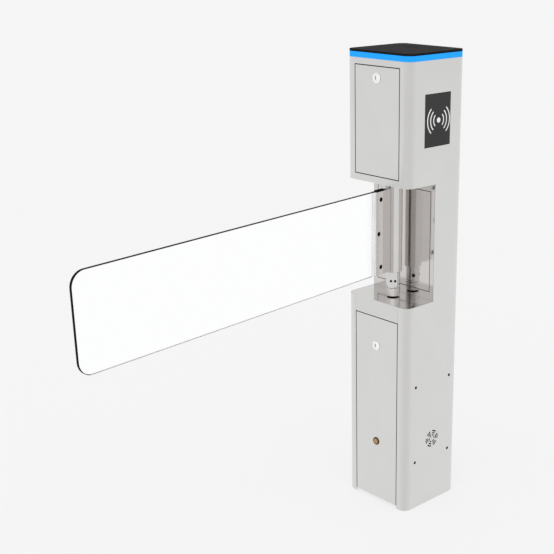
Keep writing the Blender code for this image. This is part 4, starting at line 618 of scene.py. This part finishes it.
def turned(profile, steps=FINE_STEPS, ring=False):
    """A profile of (radius, height) spun about Z. A ring's profile closes on itself."""
    bm = bmesh.new()
    verts = [bm.verts.new((radius, 0, height)) for radius, height in profile]
    edges = [bm.edges.new(pair) for pair in zip(verts, verts[1:])]
    if ring:
        edges.append(bm.edges.new((verts[-1], verts[0])))
    bmesh.ops.spin(
        bm,
        geom=verts + edges,
        cent=(0, 0, 0),
        axis=(0, 0, 1),
        dvec=(0, 0, 0),
        angle=2 * math.pi,
        steps=steps,
        use_merge=True,
        use_duplicate=False,
    )
    bmesh.ops.remove_doubles(bm, verts=bm.verts, dist=WELD)
    return bm


def rod(radius, low, high):
    """A small solid cylinder about Z."""
    return turned([(0, low), (radius, low), (radius, high), (0, high)], SMALL_STEPS)


def skinned(loops):
    """Loops of points joined in order, with both ends closed."""
    bm = bmesh.new()
    rows = [[bm.verts.new(point) for point in loop] for loop in loops]
    for one, two in zip(rows, rows[1:]):
        for i in range(len(one)):
            j = (i + 1) % len(one)
            bm.faces.new((one[i], one[j], two[j], two[i]))
    bm.faces.new(rows[0])
    bm.faces.new(rows[-1])
    return bm


def prism(outline, low, high):
    """An outline in X and Z, given a thickness along Y."""
    return skinned([[(x, y, z) for x, z in outline] for y in (low, high)])


def box_of(low, high):
    """A block between two corners."""
    x0, y0, z0 = low
    x1, y1, z1 = high
    return skinned([[(x0, y0, z), (x1, y0, z), (x1, y1, z), (x0, y1, z)] for z in (z0, z1)])


def gather(bm, more):
    """Moves a second shape into the first."""
    mesh = bpy.data.meshes.new("gathered")
    more.to_mesh(mesh)
    more.free()
    bm.from_mesh(mesh)
    bpy.data.meshes.remove(mesh)


def cut(piece, bm, place=None, operation="DIFFERENCE"):
    """Cuts a shape out of a piece, or joins it on, in the piece's own coordinates."""
    if place is not None:
        bmesh.ops.transform(bm, matrix=place, verts=bm.verts)
    mesh = bpy.data.meshes.new("cutter")
    bmesh.ops.recalc_face_normals(bm, faces=bm.faces)
    bm.to_mesh(mesh)
    bm.free()
    for material in piece.data.materials:
        mesh.materials.append(material)
    tool = bpy.data.objects.new("cutter", mesh)
    tool.matrix_world = piece.matrix_world
    bpy.context.scene.collection.objects.link(tool)
    modifier = piece.modifiers.new("cut", "BOOLEAN")
    modifier.operation = operation
    modifier.solver = "EXACT"
    modifier.object = tool
    bpy.context.view_layer.update()
    found = piece.evaluated_get(bpy.context.evaluated_depsgraph_get())
    result = bpy.data.meshes.new_from_object(found)
    piece.modifiers.remove(modifier)
    piece.data = result
    bpy.data.objects.remove(tool, do_unlink=True)


def reader():
    """The black reader window with its contactless waves, flush in the post's side."""
    x, z = READER_AT
    outline = rounded_rectangle(
        (x - READER_HALF_WIDTH, z - READER_HALF_HEIGHT),
        (x + READER_HALF_WIDTH, z + READER_HALF_HEIGHT),
        (READER_CORNER,) * 4,
        READER_CORNER_STEPS,
    )
    face = -HALF_WIDTH + ICON_THICKNESS
    add_piece(
        "reader_glass",
        prism(outline, face, -HALF_WIDTH + READER_GLASS),
        finishes["black_glass"],
        "housing",
        stands_for=("reader_window",),
    )
    marks = bmesh.new()
    x += ICON_SHIFT[0]
    z += ICON_SHIFT[1]
    shapes = [arc((x, z), ICON_DOT, 0, 2 * math.pi, SMALL_STEPS)[:-1]]
    for radius, half in ICON_ARCS:
        for middle in (0, math.pi):
            start = middle - half
            end = middle + half
            half_stroke = ICON_STROKE / 2
            first = (x + radius * math.cos(start), z + radius * math.sin(start))
            last = (x + radius * math.cos(end), z + radius * math.sin(end))
            points = arc((x, z), radius + half_stroke, start, end, WAVE_STEPS)
            points += arc(last, half_stroke, end, end + math.pi, WAVE_END_STEPS)[1:-1]
            points += arc((x, z), radius - half_stroke, end, start, WAVE_STEPS)
            points += arc(
                first, half_stroke, start + math.pi, start + 2 * math.pi, WAVE_END_STEPS
            )[1:-1]
            shapes.append(points)
    for points in shapes:
        gather(marks, prism(points, -HALF_WIDTH, face))
    add_piece("contactless_waves", marks, icon_white, "housing")


def panel(gate):
    """The clear panel with its edge all round in a painted dark reflection, but for the strip
    underneath in painted light.
    """
    loops = []
    for inset, y in (
        (PANEL_CHAMFER, -PANEL_HALF),
        (0, -PANEL_HALF + PANEL_CHAMFER),
        (0, PANEL_HALF - PANEL_CHAMFER),
        (PANEL_CHAMFER, PANEL_HALF),
    ):
        outer = PANEL_RADIUS - inset
        root = PANEL_ROOT_RADIUS - inset
        outline = rounded_rectangle(
            (PANEL_ROOT + inset, PANEL_FOOT + inset),
            (PANEL_REACH - inset, PANEL_TOP - inset),
            (outer, root, root, outer),
            PANEL_CORNER_STEPS,
        )
        loops.append([(x, y, z) for x, z in outline])
    bm = skinned(loops)
    bm.normal_update()
    for face in bm.faces:
        # Edge faces take the painted dark reflection, those along the foot the painted light
        edge = abs(face.normal.y) < FLAT_NORMAL and len(face.verts) == 4
        under = face.calc_center_median().z < PANEL_FOOT + PANEL_UNDER
        face.material_index = edge * (2 if under else 1)
    add_piece(
        "clear_panel",
        bm,
        (finishes["clear_acrylic"], panel_edge_dark_reflection, panel_underside_light),
        "gate",
        gate,
        ("gate_panel",),
    )


def column(gate):
    """The polished tube with a band of painted shade facing the clamp, the hub it stands on, and the
    collar on the recess floor with its black seal, which is also painted shade under the collar.
    """
    tube = [
        (TUBE_RADIUS - EDGE_BREAK, TUBE_FOOT),
        (TUBE_RADIUS, TUBE_FOOT + EDGE_BREAK),
        (TUBE_RADIUS, TUBE_TOP - EDGE_BREAK),
        (TUBE_RADIUS - EDGE_BREAK, TUBE_TOP),
        (TUBE_BORE, TUBE_TOP),
        (TUBE_BORE, TUBE_FOOT),
    ]
    bm = turned(tube, ring=True)
    # Faces turned towards the clamp take the darker copy, a painted shade
    for face in bm.faces:
        middle = face.calc_center_median()
        face.material_index = int(abs(math.atan2(middle.y, middle.x)) < TUBE_PAINTED_SHADE_HALF)
    tube_piece = add_piece(
        "tube_polished",
        bm,
        (column_polish, tube_painted_shade),
        "gate",
        gate,
        ("column_tube",),
    )
    start, end = CLAMP_WEB
    web = box_of((start, -CLAMP_WEB_HALF, CLAMP_FOOT), (end, CLAMP_WEB_HALF, CLAMP_TOP))
    cut(tube_piece, web, operation="UNION")
    hub = [
        (0, HUB_BORE_TOP),
        (SHAFT_BORE, HUB_BORE_TOP),
        (SHAFT_BORE, HUB_FOOT),
        (HUB_RADIUS - EDGE_BREAK, HUB_FOOT),
        (HUB_RADIUS, HUB_FOOT + EDGE_BREAK),
        (HUB_RADIUS, HUB_TOP),
        (SPIGOT_RADIUS, HUB_TOP),
        (SPIGOT_RADIUS, HUB_SPIGOT_TOP),
        (0, HUB_SPIGOT_TOP),
    ]
    hub_piece = add_piece(
        "hub_polished", turned(hub), column_polish, "gate", gate, ("shaft_hub",)
    )
    for number, (angle, radius) in enumerate(HUB_SCREWS, 1):
        outward = Matrix.Rotation(angle, 4, "Z") @ Matrix.Rotation(math.pi / 2, 4, "Y")
        place = Matrix.Translation((0, 0, HUB_SCREW_Z)) @ outward
        cut(hub_piece, rod(radius, *HUB_HOLE), place)
        screw = [
            (0, HUB_SCREW_SOCKET),
            (radius * HUB_SOCKET_FLOOR, HUB_SCREW_SOCKET),
            (radius * HUB_SOCKET_MOUTH, HUB_SCREW_FACE),
            (radius * HUB_SCREW_BODY, HUB_SCREW_FACE),
            (radius * HUB_SCREW_BODY, HUB_SCREW_END),
            (0, HUB_SCREW_END),
        ]
        add_piece(
            f"hub_screw_{number}",
            turned(screw, SMALL_STEPS),
            finishes["black_steel"],
            "gate",
            gate @ place,
        )
    collar = [
        (HUB_RADIUS - EDGE_BREAK, COLLAR_FOOT),
        (HUB_RADIUS, COLLAR_FOOT + EDGE_BREAK),
        (HUB_RADIUS, COLLAR_TOP - EDGE_BREAK),
        (HUB_RADIUS - EDGE_BREAK, COLLAR_TOP),
        (SHAFT_BORE, COLLAR_TOP),
        (SHAFT_BORE, COLLAR_FOOT),
    ]
    stand = Matrix.Translation((AXIS_X, 0, 0))
    add_piece(
        "collar_polished",
        turned(collar, ring=True),
        collar_satin,
        "housing",
        stand,
        ("floor_collar",),
    )
    # The black seal ring, also painted shade in the gap under the collar
    seal = [
        (SHAFT_BORE, COLLAR_SEAL_FOOT),
        (COLLAR_SEAL_RADIUS, COLLAR_SEAL_FOOT),
        (COLLAR_SEAL_RADIUS, COLLAR_SEAL_TOP),
        (SHAFT_BORE, COLLAR_SEAL_TOP),
    ]
    add_piece("collar_seal_and_shade", turned(seal, ring=True), black_seal_and_gap_shade, "housing", stand)


def clamp_cheeks(gate):
    """The two clamp plates: a thinner root on the tube, and a bright strip that holds the bolts."""
    turns = [math.pi / 2 * i / CLAMP_CORNER_STEPS for i in range(CLAMP_CORNER_STEPS + 1)]
    levels = [CLAMP_CORNER * (1 - math.cos(turn)) for turn in turns]
    heights = [CLAMP_FOOT + level for level in levels]
    heights += [CLAMP_TOP - level for level in reversed(levels)]
    for name, side in (("front", 1), ("back", -1)):
        loops = []
        for height in heights:
            level = min(height - CLAMP_FOOT, CLAMP_TOP - height)
            rise = CLAMP_CORNER - level
            end = CLAMP_REACH - CLAMP_CORNER + math.sqrt(max(0, CLAMP_CORNER ** 2 - rise ** 2))
            profile = [
                (math.sqrt(CLAMP_SADDLE ** 2 - CLAMP_BACK ** 2), CLAMP_BACK),
                (end, CLAMP_BACK),
                (end, CLAMP_FACE - FINE_BREAK),
                (end - FINE_BREAK, CLAMP_FACE),
                (CLAMP_STEP_AT + FINE_BREAK, CLAMP_FACE),
                (CLAMP_STEP_AT, CLAMP_FACE - FINE_BREAK),
                (CLAMP_STEP_AT, CLAMP_INNER_FACE),
                (math.sqrt(CLAMP_SADDLE ** 2 - CLAMP_INNER_FACE ** 2), CLAMP_INNER_FACE),
            ]
            loops.append([(x, side * y, height) for x, y in profile])
        bm = skinned(loops)
        for face in bm.faces:
            strip = face.calc_center_median().x > CLAMP_STEP_AT
            face.material_index = int(len(face.verts) == 4 and strip)
        cheek = add_piece(
            f"cheek_{name}",
            bm,
            (finishes["polished_steel"], strip_polish),
            "gate",
            gate,
            (f"clamp_cheek_{name}",),
        )
        sink = [
            (0, CLAMP_BACK - OVERRUN),
            (CLAMP_SHANK_RADIUS + SEAT_GAP, CLAMP_BACK - OVERRUN),
            (CLAMP_SHANK_RADIUS + SEAT_GAP, CLAMP_NECK),
            (CLAMP_HEAD_RADIUS + SEAT_GAP, CLAMP_FACE),
            (CLAMP_HEAD_RADIUS + SEAT_GAP, CLAMP_FACE + OVERRUN),
            (0, CLAMP_FACE + OVERRUN),
        ]
        outward = Matrix.Rotation(-side * math.pi / 2, 4, "X")
        for reach, height in CLAMP_BOLTS:
            cut(cheek, turned(sink, SMALL_STEPS), Matrix.Translation((reach, 0, height)) @ outward)


def clamp_pads(gate):
    """The pads between the panel and the two clamp plates, pale as painted light over the shade there.
    """
    near, far = PAD_FACES
    low = CLAMP_FOOT + SEAT_GAP
    high = CLAMP_TOP - SEAT_GAP
    for name, side, end in zip(("front", "back"), (1, -1), PAD_ENDS):
        faces = sorted((side * near, side * far))
        block = box_of((PAD_START, faces[0], low), (end, faces[1], high))
        pad = add_piece(f"clamp_pad_{name}", block, pad_painted_light, "gate", gate)
        for reach, height in CLAMP_BOLTS:
            place = Matrix.Translation((reach, 0, height)) @ Matrix.Rotation(math.pi / 2, 4, "X")
            cut(pad, rod(CLAMP_HEAD_RADIUS, -CLAMP_FACE, CLAMP_FACE), place)


def clamp_top_seal(gate):
    """The black trim along the top of the panel, between the clamp plates."""
    start, end = TOP_SEAL_SPAN
    foot = PANEL_TOP + WELD
    block = box_of((start, -TOP_SEAL_HALF, foot), (end, TOP_SEAL_HALF, foot + TOP_SEAL_HEIGHT))
    add_piece("clamp_top_seal", block, black_seal_and_gap_shade, "gate", gate)


def seams():
    """The thin black seals in the seams round the doors and the flush cover of the recess wall, also
    painted shade in those gaps.
    """
    for name, gap, face, depth, side, foot, top, closed in SEAMS:
        face += depth
        back = face + SEAL_THICKNESS
        outline = []
        for inset in (SEAL_INSET, gap - SEAL_INSET):
            low = foot + (inset if closed else 0)
            high = top - inset
            edge = side - inset
            outline.append([(-edge, low), (-edge, high), (edge, high), (edge, low)])
        bm = bmesh.new()
        sections = []
        for outer, inner in zip(*outline):
            points = ((face, *outer), (face, *inner), (back, *inner), (back, *outer))
            sections.append([bm.verts.new(point) for point in points])
        stretches = list(zip(sections, sections[1:]))
        if closed:
            stretches.append((sections[-1], sections[0]))
        else:
            bm.faces.new(sections[0])
            bm.faces.new(sections[-1])
        for one, two in stretches:
            for i in range(4):
                j = (i + 1) % 4
                bm.faces.new((one[i], one[j], two[j], two[i]))
        add_piece(name, bm, black_seal_and_gap_shade, "housing")


def clamp_bolts(gate):
    """The three countersunk bolts through the clamp, with a round socket at each end."""
    profile = [
        (0, -CLAMP_FACE + CLAMP_SOCKET_DEPTH),
        (CLAMP_SOCKET, -CLAMP_FACE + CLAMP_SOCKET_DEPTH),
        (CLAMP_SOCKET, -CLAMP_FACE),
        (CLAMP_HEAD_RADIUS, -CLAMP_FACE),
        (CLAMP_SHANK_RADIUS, -CLAMP_NECK),
        (CLAMP_SHANK_RADIUS, CLAMP_NECK),
        (CLAMP_HEAD_RADIUS, CLAMP_FACE),
        (CLAMP_SOCKET, CLAMP_FACE),
        (CLAMP_SOCKET, CLAMP_FACE - CLAMP_SOCKET_DEPTH),
        (0, CLAMP_FACE - CLAMP_SOCKET_DEPTH),
    ]
    across = Matrix.Rotation(math.pi / 2, 4, "X")
    for number, (reach, height) in enumerate(CLAMP_BOLTS, 1):
        place = gate @ Matrix.Translation((reach, 0, height)) @ across
        add_piece(
            f"clamp_screw_{number}",
            turned(profile, SMALL_STEPS),
            finishes["black_steel"],
            "gate",
            place,
            (f"clamp_bolt_{number}",),
        )


def locks():
    """The two cam locks: each a bright barrel with its nut, and a plug with its keyway in painted
    shade.
    """
    along = Matrix.Rotation(-math.pi / 2, 4, "Y")
    bore = PLUG_RADIUS + SEAT_GAP
    round_in, round_down = LOCK_ROUND_MIDDLE
    barrel = [
        (LOCK_FACE_RADIUS - LOCK_ROUND, LOCK_FACE),
        (bore + FINE_BREAK, LOCK_FACE),
        (bore, LOCK_FACE - FINE_BREAK),
        (bore, -LOCK_BARREL_LENGTH),
        (LOCK_BARREL_RADIUS, -LOCK_BARREL_LENGTH),
        (LOCK_BARREL_RADIUS, SEAT_GAP),
        (LOCK_FACE_RADIUS, SEAT_GAP),
        (LOCK_FACE_RADIUS, LOCK_FACE - LOCK_ROUND),
        (LOCK_FACE_RADIUS - round_in, LOCK_FACE - round_down),
    ]
    low, high = LOCK_NUT
    nut = [(LOCK_NUT_RADIUS, low), (LOCK_NUT_RADIUS, high), (LOCK_NUT_HOLE, high), (LOCK_NUT_HOLE, low)]
    for name, z in LOCKS:
        place = Matrix.Translation((FRONT_X, 0, z)) @ along
        shape = turned(barrel, ring=True)
        gather(shape, turned(nut, NUT_SIDES, ring=True))
        add_piece(
            f"{name}_lock_face",
            shape,
            lock_chrome,
            f"{name}_door",
            place,
            (f"{name}_lock_barrel",),
        )
        front = LOCK_FACE - SEAT_GAP
        plug = [
            (0, front),
            (PLUG_RADIUS - FINE_BREAK, front),
            (PLUG_RADIUS, front - FINE_BREAK),
            (PLUG_RADIUS, -LOCK_BARREL_LENGTH - SEAT_GAP),
            (PLUG_NOSE_RADIUS, -LOCK_BARREL_LENGTH - SEAT_GAP),
            (PLUG_NOSE_RADIUS, PLUG_NOSE_END),
            (0, PLUG_NOSE_END),
        ]
        core = add_piece(
            f"{name}_lock_core",
            turned(plug),
            (lock_chrome, keyway_shade_finish),
            f"{name}_lock",
            place,
            (f"{name}_lock_plug",),
        )
        half_height = KEYWAY_HEIGHT / 2
        half_width = KEYWAY_WIDTH / 2
        keyway = box_of(
            (-half_height, KEYWAY_SHIFT - half_width, front - KEYWAY_DEPTH),
            (half_height, KEYWAY_SHIFT + half_width, front + KEYWAY_DEPTH),
        )
        # The keyway's faces take the painted shade
        for side in keyway.faces:
            side.material_index = 1
        cut(core, keyway)


def housing_screws():
    """The four black socket screws, flush in the post's side."""
    profile = [
        (0, SCREW_SOCKET_DEPTH),
        (SCREW_SOCKET, SCREW_SOCKET_DEPTH),
        (SCREW_SOCKET, 0),
        (SCREW_HEAD - FINE_BREAK, 0),
        (SCREW_HEAD, FINE_BREAK),
        (SCREW_HEAD, SHEET - SEAT_GAP),
        (SCREW_SHANK, SHEET - SEAT_GAP),
        (SCREW_SHANK, SCREW_LENGTH),
        (0, SCREW_LENGTH),
    ]
    inward = Matrix.Rotation(-math.pi / 2, 4, "X")
    for node_name, x, z in SCREW_PLACES:
        place = Matrix.Translation((x, -HALF_WIDTH, z)) @ inward
        add_piece(
            node_name.replace("housing_screw", "side_screw"),
            turned(profile, SMALL_STEPS),
            finishes["black_steel"],
            "housing",
            place,
            (node_name,),
        )


def studio():
    """The pale floor, the soft light and the camera."""
    scene = bpy.context.scene
    scene.view_settings.view_transform = "Standard"
    bm = bmesh.new()
    bmesh.ops.create_grid(bm, x_segments=1, y_segments=1, size=FLOOR_SIZE / 2)
    mesh = bpy.data.meshes.new("studio_floor")
    bm.to_mesh(mesh)
    bm.free()
    floor = bpy.data.objects.new("studio_floor", mesh)
    scene.collection.objects.link(floor)
    paint = finish_of("floor_paint", FLOOR_COLOUR, 0.0, FLOOR_ROUGHNESS, {"Specular IOR Level": 0.0})
    tree = paint.node_tree
    rays = tree.nodes.new("ShaderNodeLightPath")
    seen = tree.nodes.new("ShaderNodeEmission")
    seen.inputs["Strength"].default_value = BACKDROP_THROUGH_PANEL
    glow = tree.nodes.new("ShaderNodeEmission")
    glow.inputs["Strength"].default_value = FLOOR_GLOW
    looked_at = tree.nodes.new("ShaderNodeMath")
    looked_at.operation = "MAXIMUM"
    link(tree, rays.outputs["Is Camera Ray"], looked_at.inputs[0])
    link(tree, rays.outputs["Is Glossy Ray"], looked_at.inputs[1])
    share = tree.nodes.new("ShaderNodeMath")
    share.operation = "MULTIPLY"
    share.inputs[1].default_value = FLOOR_GLOW_SHARE
    link(tree, looked_at.outputs["Value"], share.inputs[0])
    direct = tree.nodes.new("ShaderNodeMixShader")
    link(tree, share.outputs["Value"], direct.inputs["Fac"])
    link(tree, tree.nodes["Principled BSDF"].outputs["BSDF"], direct.inputs[1])
    link(tree, glow.outputs["Emission"], direct.inputs[2])
    mix = tree.nodes.new("ShaderNodeMixShader")
    output = tree.nodes["Material Output"]
    link(tree, rays.outputs["Is Transmission Ray"], mix.inputs["Fac"])
    link(tree, direct.outputs["Shader"], mix.inputs[1])
    link(tree, seen.outputs["Emission"], mix.inputs[2])
    link(tree, mix.outputs["Shader"], output.inputs["Surface"])
    mesh.materials.append(paint)

    world = bpy.data.worlds.new("studio")
    world.use_nodes = True
    scene.world = world
    tree = world.node_tree
    sky = tree.nodes["Background"]
    sky.inputs["Color"].default_value = WHITE
    sky.inputs["Strength"].default_value = SKY_STRENGTH
    rays = tree.nodes.new("ShaderNodeLightPath")
    so_far = sky.outputs["Background"]
    for ray, strength in (
        ("Is Camera Ray", BACKDROP),
        ("Is Glossy Ray", BACKDROP_REFLECTED),
        ("Is Transmission Ray", BACKDROP_THROUGH_PANEL),
    ):
        backdrop = tree.nodes.new("ShaderNodeBackground")
        backdrop.inputs["Color"].default_value = WHITE
        backdrop.inputs["Strength"].default_value = strength
        mix = tree.nodes.new("ShaderNodeMixShader")
        link(tree, rays.outputs[ray], mix.inputs["Fac"])
        link(tree, so_far, mix.inputs[1])
        link(tree, backdrop.outputs["Background"], mix.inputs[2])
        so_far = mix.outputs["Shader"]
    link(tree, so_far, tree.nodes["World Output"].inputs["Surface"])

    key_light = bpy.data.lights.new("key", "SUN")
    key_light.energy = KEY_STRENGTH
    key_light.angle = KEY_ANGLE
    key = bpy.data.objects.new("key", key_light)
    key.rotation_euler = KEY_TURN
    scene.collection.objects.link(key)

    lens = bpy.data.cameras.new("camera")
    lens.sensor_width = CAMERA_SENSOR
    lens.lens = CAMERA_LENS
    lens.shift_x, lens.shift_y = CAMERA_SHIFT
    lens.clip_end = CAMERA_REACH
    lens.dof.use_dof = False
    camera = bpy.data.objects.new("camera", lens)
    camera.location = CAMERA_AT
    camera.rotation_euler = CAMERA_TURN
    scene.collection.objects.link(camera)
    scene.camera = camera


gate_place = Matrix.Translation((AXIS_X, 0, 0)) @ Matrix.Rotation(math.pi + REST_YAW, 4, "Z")
reader()
panel(gate_place)
column(gate_place)
clamp_cheeks(gate_place)
clamp_pads(gate_place)
clamp_top_seal(gate_place)
clamp_bolts(gate_place)
seams()
locks()
housing_screws()
studio()
